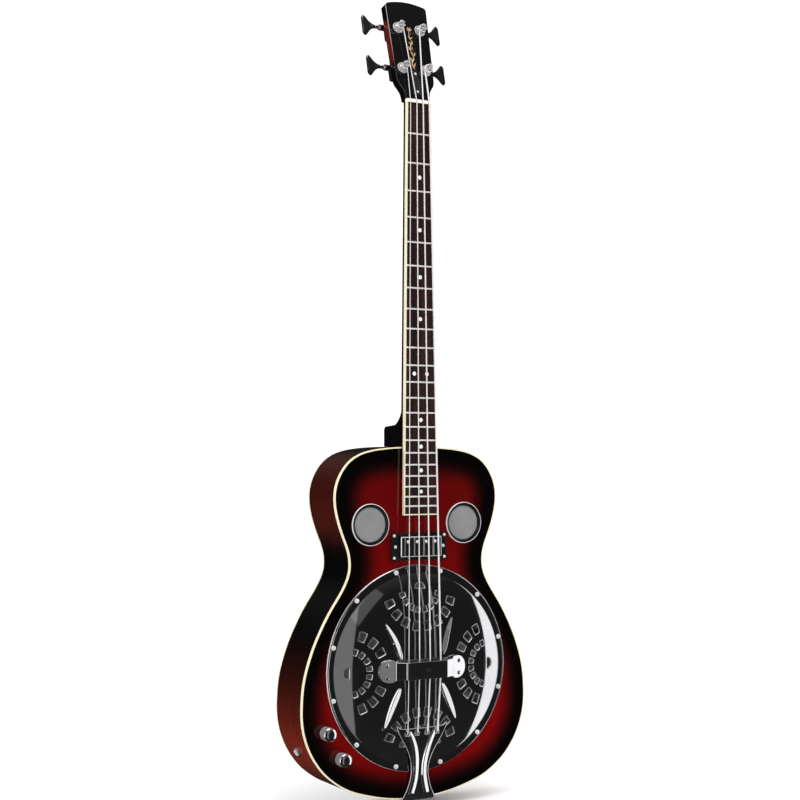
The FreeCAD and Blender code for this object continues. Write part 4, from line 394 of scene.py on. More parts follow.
def pale_wood(name, a=(0.42, 0.27, 0.14), b=(0.30, 0.18, 0.09)):
    m = Mat(name)
    v = m.coords()
    grain = m.noise(m.scaled(v, (160.0, 160.0, 6.0)), 1.0, 6.0, 0.6, distortion=0.5)
    pores = m.noise(m.scaled(v, (900.0, 900.0, 40.0)), 1.0, 2.0)
    col = m.mix(m.remap(grain, 0.3, 0.7, 0.0, 1.0), a, b)
    col = m.mix(m.remap(pores, 0.62, 0.8, 0.0, 0.4), col, tuple(c * 0.4 for c in b))
    m.set(Base_Color=col, Roughness=0.62, Normal=m.bump(grain, 0.2, 0.0001))
    return m.m


def moulded(name, color, rough, speck=0.3, coat=0.3):
    m = Mat(name)
    v = m.coords()
    cloud = m.noise(v, 40.0, 4.0)
    fine = m.noise(v, 1500.0, 2.0)
    col = m.mix(m.remap(cloud, 0.3, 0.7, 0.0, speck), color, tuple(min(1.0, c * 1.6 + 0.003) for c in color))
    m.set(Base_Color=col, Roughness=m.remap(cloud, 0.3, 0.75, rough, rough + 0.12), Coat_Weight=coat, Coat_Roughness=0.1)
    m.set(Normal=m.bump(fine, 0.08, 0.00002))
    return m.m


def pearl(name, a, b, metallic=0.0, rough=0.2):
    m = Mat(name)
    v = m.coords()
    cells = m.node("ShaderNodeTexVoronoi", "Distance", {"feature": "F1"}, Vector=v, Scale=420.0)
    cloud = m.noise(v, 160.0, 3.0, distortion=1.2)
    col = m.mix(m.remap(m.math("ADD", cells, cloud), 0.4, 1.1, 0.0, 1.0), a, b)
    m.set(Base_Color=col, Metallic=metallic, Roughness=m.remap(cloud, 0.3, 0.7, rough, rough + 0.12), Coat_Weight=0.8, Coat_Roughness=0.05)
    m.set(Normal=m.bump(cells, 0.05, 0.00003))
    return m.m


def spun(name, centre_z, color=(0.74, 0.725, 0.72)):
    """Sheet metal spun on a lathe: fine rings about the plate's axis."""
    m = Mat(name)
    v = m.coords()
    x, y, z = m.xyz(v)
    dz = m.math("SUBTRACT", z, centre_z)
    r = m.math("SQRT", m.math("ADD", m.math("MULTIPLY", x, x), m.math("MULTIPLY", dz, dz)))
    rings = m.math("SINE", m.math("ADD", m.math("MULTIPLY", r, 5200.0), m.math("MULTIPLY", m.noise(v, 20.0, 3.0), 9.0)))
    cloud = m.noise(v, 25.0, 4.0)
    col = m.mix(m.remap(cloud, 0.3, 0.7, 0.0, 1.0), color, tuple(c * 0.8 for c in color))
    m.set(Base_Color=col, Metallic=0.7, Roughness=m.remap(cloud, 0.3, 0.7, 0.28, 0.42), Anisotropic=0.4)
    m.set(Normal=m.bump(rings, 0.25, 0.00003))
    return m.m


CHROME = metal("hardware_chrome", (0.80, 0.80, 0.82), 0.045, 0.05)
PLATE = metal("plate_chrome", (0.66, 0.66, 0.68), 0.030, 0.025, 0.03, scratch=0.05)
KEYS = metal("tuner_dark_chrome", (0.115, 0.115, 0.12), 0.14, 0.10)
NICKEL = metal("fret_nickel", (0.90, 0.88, 0.86), 0.24, 0.10, metallic=0.35)
STEEL = metal("screw_steel", (0.88, 0.88, 0.87), 0.24, 0.10, metallic=0.40)
BRIGHT = metal("bright_chrome", (0.88, 0.88, 0.89), 0.07, 0.05, metallic=0.72)
# painted highlight: a pale, mostly diffuse metal laid on rolled and bevelled edges so they show as bright lines
EDGE_HIGHLIGHT = metal("painted_highlight_edge", (0.90, 0.89, 0.89), 0.16, 0.08, metallic=0.30)
SATIN = metal("knob_satin", (0.62, 0.61, 0.61), 0.30, 0.10, scratch=0.3, metallic=0.62)
WOUND = metal("string_nickel", (0.84, 0.805, 0.785), 0.30, 0.08, 0.03, brushed=(1500.0, 1500.0, 300.0), scratch=0.1, metallic=0.25)
GAUZE = metal("screen_wire", (0.52, 0.52, 0.53), 0.34, 0.15, 0.10, scratch=0.2, metallic=0.35)
BRASS = metal("ball_brass", (0.72, 0.52, 0.26), 0.24, 0.12)
TOP = lacquered_burst("sunburst_lacquer", (0.172, 0.0006, 0.0008), (0.104, 0.0004, 0.0006), widen=0.0045, painted_shade=0.42)
BACK = lacquered_burst("back_lacquer", (0.120, 0.0042, 0.0028), (0.055, 0.0022, 0.0018), start=0.010, end=0.060)
RIM = rim_lacquer("rim_lacquer")
NECKM = neck_lacquer("neck_lacquer")
FACE = face_black("headstock_lacquer")
CREAM = binding_plastic("cream_binding")
ROSE = rosewood("rosewood")
INNER = pale_wood("inner_wood")
MAPLE = pale_wood("saddle_maple", (0.20, 0.10, 0.045), (0.12, 0.055, 0.025))
BLACKP = moulded("black_plastic", (0.0065, 0.0065, 0.0070), 0.16, 0.5, 0.5)
GLOSSY = moulded("cover_plastic", (0.012, 0.012, 0.0125), 0.10, 0.5, 1.0)
BONE = moulded("nut_bone", (0.80, 0.77, 0.68), 0.30, 0.2, 0.3)
PEARL = pearl("pearl_dots", (0.86, 0.86, 0.82), (0.72, 0.76, 0.76))
GOLD = pearl("gold_inlay", (0.92, 0.74, 0.45), (0.62, 0.36, 0.13), 0.45, 0.26)
ALU = spun("spun_aluminium", 0.1865)
CAST = metal("cast_aluminium", (0.60, 0.61, 0.62), 0.34, 0.16, 0.10, scratch=0.5, specks=0.3)


# ------------------------------------------------------------------ mesh helpers
def place(name, verts, faces, mat, body="instrument", angle=35.0, normals=None, slot=None, replaces=()):
    me = bpy.data.meshes.new(name)
    me.from_pydata([tuple(v) for v in verts], [], [tuple(int(i) for i in f) for f in faces])
    me.validate()
    me.update()
    if normals is None:
        bm = bmesh.new()
        bm.from_mesh(me)
        bmesh.ops.recalc_face_normals(bm, faces=bm.faces)
        bm.to_mesh(me)
        bm.free()
    me.polygons.foreach_set("use_smooth", [True] * len(me.polygons))
    if normals is not None:
        me.normals_split_custom_set_from_vertices([tuple(n) for n in normals])
    elif angle < 180:
        me.set_sharp_from_angle(angle=math.radians(angle))
    ob = bpy.data.objects.new(name, me)
    scene.collection.objects.link(ob)
    for m in (mat if isinstance(mat, (list, tuple)) else [mat]):
        me.materials.append(m)
    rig.ride(ob, body)
    if slot:
        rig.slot(ob, slot)
    if replaces:
        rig.replaces(ob, *replaces)
    return ob


class Parts:
    """Collects several closed pieces into one mesh."""

    def __init__(self):
        self.v, self.f, self.mi = [], [], []
        self.n = 0

    def add(self, verts, faces, mi=0):
        base = self.n
        self.v.extend([tuple(v) for v in verts])
        self.f.extend([tuple(int(i) + base for i in f) for f in faces])
        self.mi.extend([mi] * len(faces))
        self.n += len(verts)

    def place(self, name, mat, body="instrument", angle=35.0, slot=None, replaces=()):
        ob = place(name, self.v, self.f, mat, body, angle, None, slot, replaces)
        if any(self.mi) and len(ob.data.polygons) == len(self.mi):
            ob.data.polygons.foreach_set("material_index", self.mi)
        return ob


def frame_of(origin, axis, ref=None):
    a = Vector(axis).normalized()
    r = Vector(ref) if ref is not None else (Vector((1, 0, 0)) if abs(a.x) < 0.8 else Vector((0, 1, 0)))
    u = (r - a * r.dot(a)).normalized()
    w = a.cross(u)
    return Vector(origin), u, w, a


def lathe(profile, origin, axis, segs=48, ref=None, shape=None):
    """Closed turned solid. profile: (radius, height) pairs from the axis to the axis, metres."""
    o, u, w, a = frame_of(origin, axis, ref)
    verts, faces, rings = [], [], []
    for r, h in profile:
        if r < 1e-9:
            rings.append([len(verts)])
            verts.append(o + a * h)
        else:
            ring = []
            for i in range(segs):
                t = 2 * math.pi * i / segs
                rr = r * (shape(t, h) if shape else 1.0)
                ring.append(len(verts))
                verts.append(o + a * h + u * (rr * math.cos(t)) + w * (rr * math.sin(t)))
            rings.append(ring)
    for A, B in zip(rings, rings[1:]):
        for i in range(segs):
            j = (i + 1) % segs
            if len(A) == 1 and len(B) == 1:
                continue
            if len(A) == 1:
                faces.append((A[0], B[j], B[i]))
            elif len(B) == 1:
                faces.append((A[i], A[j], B[0]))
            else:
                faces.append((A[i], A[j], B[j], B[i]))
    return verts, faces


def torus_lathe(profile, origin, axis, segs=96, ref=None):
    """Turned ring: the profile is a closed loop that stays off the axis."""
    o, u, w, a = frame_of(origin, axis, ref)
    verts, faces = [], []
    n = len(profile)
    for i in range(segs):
        t = 2 * math.pi * i / segs
        d = u * math.cos(t) + w * math.sin(t)
        for r, h in profile:
            verts.append(o + a * h + d * r)
    for i in range(segs):
        j = (i + 1) % segs
        for k in range(n):
            l = (k + 1) % n
            faces.append((i * n + k, j * n + k, j * n + l, i * n + l))
    return verts, faces


def transport(points):
    """Parallel-transport frames along a polyline."""
    P = np.asarray(points, float)
    T = np.gradient(P, axis=0)
    T /= np.linalg.norm(T, axis=1)[:, None]
    n = np.array([1.0, 0, 0]) if abs(T[0][0]) < 0.8 else np.array([0, 1.0, 0])
    n = n - T[0] * n.dot(T[0])
    n /= np.linalg.norm(n)
    N = [n]
    for i in range(1, len(P)):
        m = N[-1] - T[i] * N[-1].dot(T[i])
        N.append(m / np.linalg.norm(m))
    N = np.array(N)
    return P, T, N, np.cross(T, N)


def tube(points, radius, sides=10, twist=None):
    """Closed tube along a polyline. radius: number or per-point list; twist(s, t) scales it."""
    P, T, N, Bn = transport(points)
    k = len(P)
    R = np.full(k, radius) if np.isscalar(radius) else np.asarray(radius, float)
    s = np.concatenate([[0], np.cumsum(np.linalg.norm(np.diff(P, axis=0), axis=1))])
    th = np.arange(sides) * 2 * math.pi / sides
    RR = R[:, None] * np.ones((1, sides))
    if twist is not None:
        RR = RR * twist(s[:, None], th[None, :])
    V = P[:, None, :] + RR[..., None] * (np.cos(th)[None, :, None] * N[:, None, :] + np.sin(th)[None, :, None] * Bn[:, None, :])
    verts = list(V.reshape(-1, 3)) + [P[0] - T[0] * R[0] * 0.35, P[-1] + T[-1] * R[-1] * 0.35]
    faces = []
    for i in range(k - 1):
        for j in range(sides):
            m = (j + 1) % sides
            faces.append((i * sides + j, i * sides + m, (i + 1) * sides + m, (i + 1) * sides + j))
    a, b = k * sides, k * sides + 1
    for j in range(sides):
        m = (j + 1) % sides
        faces.append((a, m, j))
        faces.append((b, (k - 1) * sides + j, (k - 1) * sides + m))
    return verts, faces


def catmull(points, per=8, closed=False):
    P = [np.asarray(p, float) for p in points]
    out = []
    n = len(P)
    for i in range(n if closed else n - 1):
        p0 = P[(i - 1) % n] if closed or i > 0 else 2 * P[0] - P[1]
        p1, p2 = P[i], P[(i + 1) % n]
        p3 = P[(i + 2) % n] if closed or i + 2 < n else 2 * P[-1] - P[-2]
        for k in range(per):
            t = k / per
            out.append(0.5 * (2 * p1 + (p2 - p0) * t + (2 * p0 - 5 * p1 + 4 * p2 - p3) * t * t + (3 * p1 - p0 - 3 * p2 + p3) * t ** 3))
    if not closed:
        out.append(P[-1])
    return np.array(out)


def refine(node, mat, width=0.25, segs=2, angle=32.0, body=None, name=None, slot=None, extra=(), smooth=35.0):
    """The node's own shape with its edges rounded, as a new mesh."""
    src = NODES[node].data
    bm = bmesh.new()
    bm.from_mesh(src)
    bmesh.ops.remove_doubles(bm, verts=bm.verts, dist=2e-6)
    bmesh.ops.dissolve_limit(bm, angle_limit=math.radians(1.0), verts=bm.verts, edges=bm.edges)
    me = bpy.data.meshes.new("raw_" + node)
    bm.to_mesh(me)
    bm.free()
    raw = bpy.data.objects.new("raw_" + node, me)
    scene.collection.objects.link(raw)
    mod = raw.modifiers.new("round", "BEVEL")
    mod.width = width * MM
    mod.segments = segs
    mod.limit_method = "ANGLE"
    mod.angle_limit = math.radians(angle)
    mod.use_clamp_overlap = True
    mod.miter_outer = "MITER_ARC"
    dg = bpy.context.evaluated_depsgraph_get()
    bev = bpy.data.meshes.new_from_object(raw.evaluated_get(dg), depsgraph=dg)
    bpy.data.objects.remove(raw)
    bpy.data.meshes.remove(me)
    bev.materials.clear()
    bev.polygons.foreach_set("use_smooth", [True] * len(bev.polygons))
    bev.polygons.foreach_set("material_index", [0] * len(bev.polygons))
    bev.set_sharp_from_angle(angle=math.radians(max(smooth, 48.0)))
    tmp = bpy.data.objects.new("tmp_" + node, bev)
    scene.collection.objects.link(tmp)
    wn = tmp.modifiers.new("weights", "WEIGHTED_NORMAL")
    wn.mode = "FACE_AREA"
    wn.weight = 50
    wn.keep_sharp = True
    dg = bpy.context.evaluated_depsgraph_get()
    out = bpy.data.meshes.new_from_object(tmp.evaluated_get(dg), preserve_all_data_layers=True, depsgraph=dg)
    bpy.data.objects.remove(tmp)
    bpy.data.meshes.remove(bev)
    out.name = name or node + "_finish"
    ob = bpy.data.objects.new(name or node + "_finish", out)
    scene.collection.objects.link(ob)
    out.materials.append(mat)
    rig.ride(ob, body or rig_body[node])
    if slot:
        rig.slot(ob, slot)
    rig.replaces(ob, node, *extra)
    return ob


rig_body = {n: o["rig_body"] for n, o in NODES.items()}


def signed_area(loop):
    x, y = loop[:, 0], loop[:, 1]
    return 0.5 * float(np.sum(x * np.roll(y, -1) - np.roll(x, -1) * y))


def inside(loop, pts):
    """Boolean mask of points inside a polygon."""
    x, y = pts[:, 0], pts[:, 1]
    res = np.zeros(len(pts), bool)
    lo, hi = loop.min(0), loop.max(0)
    near = (x >= lo[0]) & (x <= hi[0]) & (y >= lo[1]) & (y <= hi[1])
    if not near.any():
        return res
    xs, ys = x[near], y[near]
    r = np.zeros(len(xs), bool)
    a = loop
    b = np.roll(loop, -1, axis=0)
    for (x1, y1), (x2, y2) in zip(a, b):
        if y1 == y2:
            continue
        c = ((ys >= y1) != (ys >= y2)) & (xs < (x2 - x1) * (ys - y1) / (y2 - y1) + x1)
        r ^= c
    res[near] = r
    return res


def offset_loop(loop, d):
    """Closed loop moved outwards by d (inwards if negative), vertex by vertex."""
    p, n = np.roll(loop, 1, axis=0), np.roll(loop, -1, axis=0)
    t = n - p
    t /= np.linalg.norm(t, axis=1)[:, None] + 1e-12
    nor = np.stack([t[:, 1], -t[:, 0]], 1)
    if signed_area(loop) < 0:
        nor = -nor
    return loop + nor * d


def rounded(poly, r, steps=5):
    """Polygon with its corners rounded."""
    P = np.asarray(poly, float)
    out = []
    n = len(P)
    for i in range(n):
        p, a, c = P[i], P[i - 1], P[(i + 1) % n]
        u, v = a - p, c - p
        lu, lv = np.linalg.norm(u), np.linalg.norm(v)
        u, v = u / lu, v / lv
        half = 0.5 * math.acos(max(-1.0, min(1.0, float(u @ v))))
        t = min(r / math.tan(half), 0.45 * lu, 0.45 * lv)
        rr = t * math.tan(half)
        m = (u + v) / np.linalg.norm(u + v) * (rr / math.sin(half))
        c0 = p + m
        s, e = p + u * t - c0, p + v * t - c0
        for k in range(steps + 1):
            w = k / steps
            q = s * (1 - w) + e * w
            out.append(c0 + q / np.linalg.norm(q) * rr)
    return np.array(out)


def densify(loop, step):
    out = []
    n = len(loop)
    for i in range(n):
        a, b = loop[i], loop[(i + 1) % n]
        k = max(1, int(math.ceil(np.linalg.norm(b - a) / step)))
        for j in range(k):
            out.append(a + (b - a) * j / k)
    return np.array(out)


def planar(outer, holes, interior):
    """Triangulated region: outer loop, holes, loose points inside. Returns points and triangles."""
    pts, edges = [], []

    def loop(L):
        b = len(pts)
        pts.extend([(float(x), float(y)) for x, y in L])
        edges.extend([(b + i, b + (i + 1) % len(L)) for i in range(len(L))])

    loop(outer)
    for h in holes:
        loop(h)
    pts.extend([(float(x), float(y)) for x, y in interior])
    v, e, f, ov, oe, of_ = delaunay_2d_cdt([Vector(p) for p in pts], edges, [], 0, 1e-7)
    V = np.array([(q[0], q[1]) for q in v])
    F = np.array([list(t) for t in f if len(t) == 3])
    c = V[F].mean(1)
    keep = inside(np.asarray(outer), c)
    for h in holes:
        keep &= ~inside(np.asarray(h), c)
    F = F[keep]
    a = V[F[:, 0]]
    cr = (V[F[:, 1], 0] - a[:, 0]) * (V[F[:, 2], 1] - a[:, 1]) - (V[F[:, 1], 1] - a[:, 1]) * (V[F[:, 2], 0] - a[:, 0])
    F = F[np.abs(cr) > 1e-16]
    cr = cr[np.abs(cr) > 1e-16]
    F[cr < 0] = F[cr < 0][:, ::-1]
    used = np.unique(F)
    remap = -np.ones(len(V), int)
    remap[used] = np.arange(len(used))
    return V[used], remap[F]


def plate_mesh(V2, F, top, bottom):
    """Closed sheet between two height maps over a triangulated plan. top/bottom: (n,3) arrays."""
    n = len(V2)
    verts = np.concatenate([top, bottom])
    faces = [tuple(t) for t in F] + [tuple(int(i) + n for i in t[::-1]) for t in F]
    count = {}
    for t in F:
        for i in range(3):
            a, b = int(t[i]), int(t[(i + 1) % 3])
            count[(a, b)] = count.get((a, b), 0) + 1
    for (a, b) in count:
        if (b, a) not in count:
            faces.append((b, a, a + n, b + n))
    return verts, faces


# ------------------------------------------------------------------ the instrument's frames
def B(x, z, n):
    """Body point from millimetres: across, up, height over the soundboard."""
    return np.stack(np.broadcast_arrays(np.asarray(x, float), -40.5 - np.asarray(n, float), np.asarray(z, float)), -1) * MM


def tilt(base, degrees):
    c, s = math.cos(math.radians(degrees)), math.sin(math.radians(degrees))
    M = Matrix(((1, 0, 0, base[0] * MM), (0, c, -s, base[1] * MM), (0, s, c, base[2] * MM), (0, 0, 0, 1)))
    return M


NECK = tilt((0, -44.2, 1004.0), 90 - 0.652)
HEAD = tilt((0, -41.3, 1009.0), 76.0)


def at(M, x, y, z):
    return M @ (Vector((x, y, z)) * MM)


RIGHT = [(0, 0), (32, 1.4), (60, 5.6), (84.5, 11.8), (103.6, 17.9), (121, 26), (137.1, 36.7),
         (150.5, 48.2), (160.8, 60.3), (170.4, 75), (177.9, 91), (183.6, 110), (186.1, 130),
         (185.9, 150), (183.6, 174), (176, 204), (168.0, 225.5), (155.2, 252), (141.1, 276),
         (124.8, 300), (116.6, 315), (112.3, 328), (111.5, 338.5), (112.6, 350), (116.8, 364),
         (124.9, 384), (130.9, 402), (134.8, 420), (135.6, 432), (134.4, 445), (130.0, 459),
         (123.4, 471), (114.6, 481.5), (103, 490.2), (86, 497.2), (62, 501.7), (32, 504.0), (0, 504.6)]


def periodic_spline(pts, count):
    """Cubic spline through a closed run of points, sampled evenly along its length."""
    P = np.asarray(pts, float)
    n = len(P)
    h = np.linalg.norm(np.roll(P, -1, axis=0) - P, axis=1)
    A = np.zeros((n, n))
    rhs = np.zeros((n, 2))
    for i in range(n):
        a, b = h[i - 1], h[i]
        A[i, i - 1] += a
        A[i, i] += 2 * (a + b)
        A[i, (i + 1) % n] += b
        rhs[i] = 6 * ((P[(i + 1) % n] - P[i]) / b - (P[i] - P[i - 1]) / a)
    M2 = np.linalg.solve(A, rhs)
    out = []
    for i in range(n):
        j = (i + 1) % n
        for k in range(24):
            t = k / 24 * h[i]
            w = h[i] - t
            out.append(M2[i] * w ** 3 / (6 * h[i]) + M2[j] * t ** 3 / (6 * h[i]) + (P[i] / h[i] - M2[i] * h[i] / 6) * w + (P[j] / h[i] - M2[j] * h[i] / 6) * t)
    out = np.array(out)
    s = np.concatenate([[0], np.cumsum(np.linalg.norm(np.roll(out, -1, axis=0) - out, axis=1))])
    want = np.linspace(0, s[-1], count, endpoint=False)
    ext = np.concatenate([out, out[:1]])
    return np.stack([np.interp(want, s, ext[:, 0]), np.interp(want, s, ext[:, 1])], 1)


OUTLINE = periodic_spline(RIGHT + [(-x, y) for x, y in reversed(RIGHT[1:-1])], 900)
if signed_area(OUTLINE) < 0:
    OUTLINE = OUTLINE[::-1]


def hoop(profile, name, mat, slot=None, replaces=(), angle=40.0):
    """A band round the body. profile: closed loop of (inset, height over the soundboard)."""
    loops = {}
    rows = []
    for d, n in profile:
        if d not in loops:
            loops[d] = offset_loop(OUTLINE, -d)
        L = loops[d]
        rows.append(B(L[:, 0], L[:, 1], n))
    R = np.array(rows)
    k, m = R.shape[0], R.shape[1]
    verts = R.reshape(-1, 3)
    faces = []
    for a in range(k):
        b = (a + 1) % k
        for i in range(m):
            j = (i + 1) % m
            faces.append((a * m + i, b * m + i, b * m + j, a * m + j))
    return place(name, verts, faces, mat, "instrument", angle, None, slot, replaces)


def circle(cx, cy, r, n=64):
    t = np.arange(n) * 2 * math.pi / n
    return np.stack([cx + r * np.cos(t), cy + r * np.sin(t)], 1)


def rect(cx, cy, w, h):
    return np.array([(cx - w / 2, cy - h / 2), (cx + w / 2, cy - h / 2), (cx + w / 2, cy + h / 2), (cx - w / 2, cy + h / 2)], float)


# ------------------------------------------------------------------ body
CZ = 186.5


def burst_plate(name, mat, n_front, n_back, inset, holes, slot, node):
    """Flat body plate with each point's distance to the body's edge kept for the sunburst."""
    outer = offset_loop(OUTLINE, -inset)[::3]
    interior = []
    rim = offset_loop(OUTLINE, 0)
    for d in (3, 5, 8, 11, 14, 17, 20, 24, 28, 32, 36, 41, 46, 52, 60):
        L = offset_loop(OUTLINE, -d)[::4]
        interior.append(L)
    gx, gz = np.meshgrid(np.arange(-170, 171, 12.0), np.arange(10, 500, 12.0))
    interior.append(np.stack([gx.ravel(), gz.ravel()], 1))
    I = np.concatenate(interior)
    I = I[inside(offset_loop(OUTLINE, -inset - 0.8), I)]
    D = np.concatenate([np.min(np.linalg.norm(I[k:k + 400, None, :] - rim[None, ::2, :], axis=2), axis=1) for k in range(0, len(I), 400)])
    I = I[D > inset + 0.8]
    for h in holes:
        I = I[~inside(offset_loop(np.asarray(h), 0.8), I)]
    V2, F = planar(outer, holes, I)
    dist = np.concatenate([np.min(np.linalg.norm(V2[k:k + 400, None, :] - rim[None, :, :], axis=2), axis=1) for k in range(0, len(V2), 400)])
    verts, faces = plate_mesh(V2, F, B(V2[:, 0], V2[:, 1], n_front), B(V2[:, 0], V2[:, 1], n_back))
    ob = place(name, verts, faces, mat, "instrument", 30.0, None, slot, (node,))
    at_ = ob.data.attributes.new("edge_distance", "FLOAT", "POINT")
    at_.data.foreach_set("value", np.concatenate([dist, dist]).astype(np.float32) * MM)
    return ob


burst_plate("soundboard_lacquered", TOP, 0.0, -3.5, 1.98, [circle(0, CZ, 136, 120), circle(-78, 393.5, 26.5, 48), circle(78, 393.5, 26.5, 48), rect(0, 361.2, 73, 31)],
            "lacquered_top", "soundboard")
burst_plate("back_panel_lacquered", BACK, -78.0, -81.0, 1.98, [], "lacquered_back", "back_panel")


def arc_profile(d0, d1, n0, n1, r, outer_front=True):
    """Rounded outer corner of a binding, as (inset, height) pairs."""
    pts = []
    for k in range(6):
        t = math.pi / 2 * k / 5
        pts.append((r - r * math.cos(t), n1 - r + r * math.sin(t)) if outer_front else (r - r * math.cos(t), n0 + r - r * math.sin(t)))
    return pts


hoop([(2.05, -3.5), (0.0, -3.5)] + arc_profile(0, 2, -3.5, 0.02, 0.8) + [(2.05, 0.02)], "front_binding_band", CREAM, "cream_binding", ("front_binding",))
hoop([(2.05, -78.0), (0.0, -78.0)] + arc_profile(0, 2, -81.02, -78.0, 0.8, False) + [(2.05, -81.02)], "back_binding_band", CREAM, "cream_binding", ("back_binding",))
hoop([(0.0, -3.5), (0.03, -6.0), (0.0, -40.0), (0.03, -75.5), (0.0, -78.0), (2.6, -78.0), (2.6, -3.5)], "side_rim_lacquered", RIM, "lacquered_rim", ("side_rim",))


# ------------------------------------------------------------------ coverplate
PR, PD, PH, PT, RH = 148.0, 137.0, 14.5, 1.2, 2.4


def dome(r):
    r = np.asarray(r, float)
    base = PH - (PH - RH) * (np.minimum(r, 136.0) / PD) ** 2.9
    # soft shoulder into the flat rim, then a rolled lip
    s = np.clip((r - 135.0) / 4.2, 0, 1)
    s = s * s * (3 - 2 * s)
    h = base * (1 - s) + (RH - 0.25) * s
    lip = np.clip((r - 144.3) / 2.0, 0, 1)
    h = h + 0.45 * lip * lip * (3 - 2 * lip)
    edge = np.clip((r - 146.4) / 1.6, 0, 1)
    return np.where(r > 146.4, (RH + 0.2) - 2.1 * (1 - np.sqrt(np.clip(1 - edge ** 2, 0, 1))), h)


def quad(cx, cy, r_in, r_out, deg, w_in, w_out):
    a = math.radians(deg)
    ur, ut = np.array([math.cos(a), math.sin(a)]), np.array([-math.sin(a), math.cos(a)])
    c = np.array([cx, cy])
    return np.array([c + ur * r_in - ut * w_in, c + ur * r_out - ut * w_out, c + ur * r_out + ut * w_out, c + ur * r_in + ut * w_in])


slots = []
for base in (0, 90, 180, 270):
    a0 = math.radians(base)
    cx, cy = 115 * math.cos(a0), 115 * math.sin(a0)
    inward = base + 180
    for j in range(8):
        slots.append(rounded(quad(cx, cy, 26.5, 34.5, inward + (j - 3.5) * 21.0, 2.7, 3.6), 0.7, 3))
    for j in range(8):
        if j in (3, 4) and base in (0, 180):
            continue
        slots.append(rounded(quad(cx, cy, 47.5, 60.5, inward + (j - 3.5) * 19.5, 4.4, 5.5), 0.9, 3))
    a = math.radians(inward)
    ur, ut = np.array([math.cos(a), math.sin(a)]), np.array([-math.sin(a), math.cos(a)])
    c = np.array([cx, cy])
    half = [c + ut * 8 * math.cos(t) - ur * 8 * math.sin(t) for t in np.linspace(0, math.pi, 15)]
    slots.append(rounded(np.array(half), 0.8, 2) if False else np.array(half))
slots = [densify(s if signed_area(s) > 0 else s[::-1], 1.6) for s in slots]
saddle_hole = densify(rounded(rect(0, 0, 72, 26), 3.0, 4), 2.5)

# centre line, half width, side the long flank faces
RIBS = [([(-60, 68), (-45, 42), (-34, 14)], 6.0, 1), ([(-36, -24), (-49, -52), (-60, -82)], 6.2, 1), ([(51, 72), (41.5, 47), (35, 20)], 5.4, -1), ([(32, -22), (46, -52), (58, -76)], 6.8, 1)]
rib_lines = []
for pts, w, flank in RIBS:
    c = catmull([np.array(p, float) for p in pts], 24)
    s = np.linspace(0, 1, len(c))
    width = w * np.sqrt(np.clip(1 - (2 * s - 1) ** 4, 0, 1)) * (0.72 + 0.5 * np.sin(math.pi * s) * 0.56)
    if pts[0][1] > 0:
        width *= 0.62 + 0.50 * s
    else:
        width *= 1.12 - 0.50 * s
    tg = np.gradient(c, axis=0)
    tg /= np.linalg.norm(tg, axis=1)[:, None]
    across = np.stack([-tg[:, 1], tg[:, 0]], 1)
    across *= np.where(across[:, :1] * flank > 0, 1.0, -1.0)
    rib_lines.append((c, width + 1e-3, s, across))


def flank_profile(u):
    """Height across a rib: short steep side at -1, crest, long even slope to +1."""
    up = np.clip((u + 1.0) / 0.5, 0, 1)
    down = np.clip((1.0 - u) / 1.5, 0, 1)
    soft = lambda q: q * q * (3 - 2 * q)
    slope = np.where(down < 0.14, down * down / 0.28, down - 0.07)
    crest = np.clip(slope / 0.93, 0, 1)
    return np.where(u < -0.5, soft(up), np.where(crest > 0.90, 0.90 + (crest - 0.90) * 1.0, crest)) * 1.0


def ribs_height(P):
    h = np.zeros(len(P))
    for c, w, s, across in rib_lines:
        lo, hi = c.min(0) - 8, c.max(0) + 8
        near = np.where((P[:, 0] > lo[0]) & (P[:, 0] < hi[0]) & (P[:, 1] > lo[1]) & (P[:, 1] < hi[1]))[0]
        if not len(near):
            continue
        gap = P[near][:, None, :] - c[None]
        k = np.linalg.norm(gap, axis=2).argmin(1)
        u = np.sum(gap[np.arange(len(near)), k] * across[k], axis=1) / w[k]
        e = np.clip(np.minimum(s[k], 1 - s[k]) / 0.05, 0, 1)
        h[near] = np.maximum(h[near], 0.47 * w[k] * np.sqrt(e) * flank_profile(np.clip(u, -1, 1)))
    return h


interior = []
for r in list(np.arange(4, 126, 3.6)) + [128, 130, 132.5, 134.2, 135.0, 135.7, 136.4, 137.1, 137.8, 138.5, 139.2, 140.5, 142.5, 144.3, 144.9, 145.5, 146.1, 146.4, 146.9, 147.3, 147.6, 147.85]:
    n = int(2 * math.pi * r / (3.6 if r < 126 else 3.0))
    interior.append(circle(0, 0, r, n))
for c, w, s, across in rib_lines:
    t = np.gradient(c, axis=0)
    t /= np.linalg.norm(t, axis=1)[:, None]
    nor = np.stack([t[:, 1], -t[:, 0]], 1)
    for k in (-1.15, -1.0, -0.9, -0.75, -0.6, -0.5, -0.4, -0.2, 0, 0.25, 0.5, 0.7, 0.85, 1.0, 1.15):
        interior.append(c + across * (w * k)[:, None])
I = np.concatenate(interior)
keep = np.ones(len(I), bool)
rings = []
for s in slots + [saddle_hole]:
    keep &= ~inside(offset_loop(s, 1.7), I)
    rings += [offset_loop(s, 0.35), offset_loop(s, 0.75), offset_loop(s, 1.25)]
V2, F = planar(circle(0, 0, 148.0, 300), slots + [saddle_hole], np.concatenate([I[keep]] + rings))
r2 = np.linalg.norm(V2, axis=1)
hole_pts = np.concatenate([densify(s, 0.5) for s in slots + [saddle_hole]])
dh = np.concatenate([np.min(np.linalg.norm(V2[k:k + 300, None, :] - hole_pts[None], axis=2), axis=1) for k in range(0, len(V2), 300)])
roll = np.interp(dh, [0, 0.35, 0.75, 1.25], [1.05, 0.42, 0.10, 0.0])
H = dome(r2) + ribs_height(V2) - roll
Hb = dome(r2) - PT - roll * 0.6
Hb = np.where(r2 > 137, np.maximum(np.minimum(Hb, H - 0.6), 0.02), Hb)
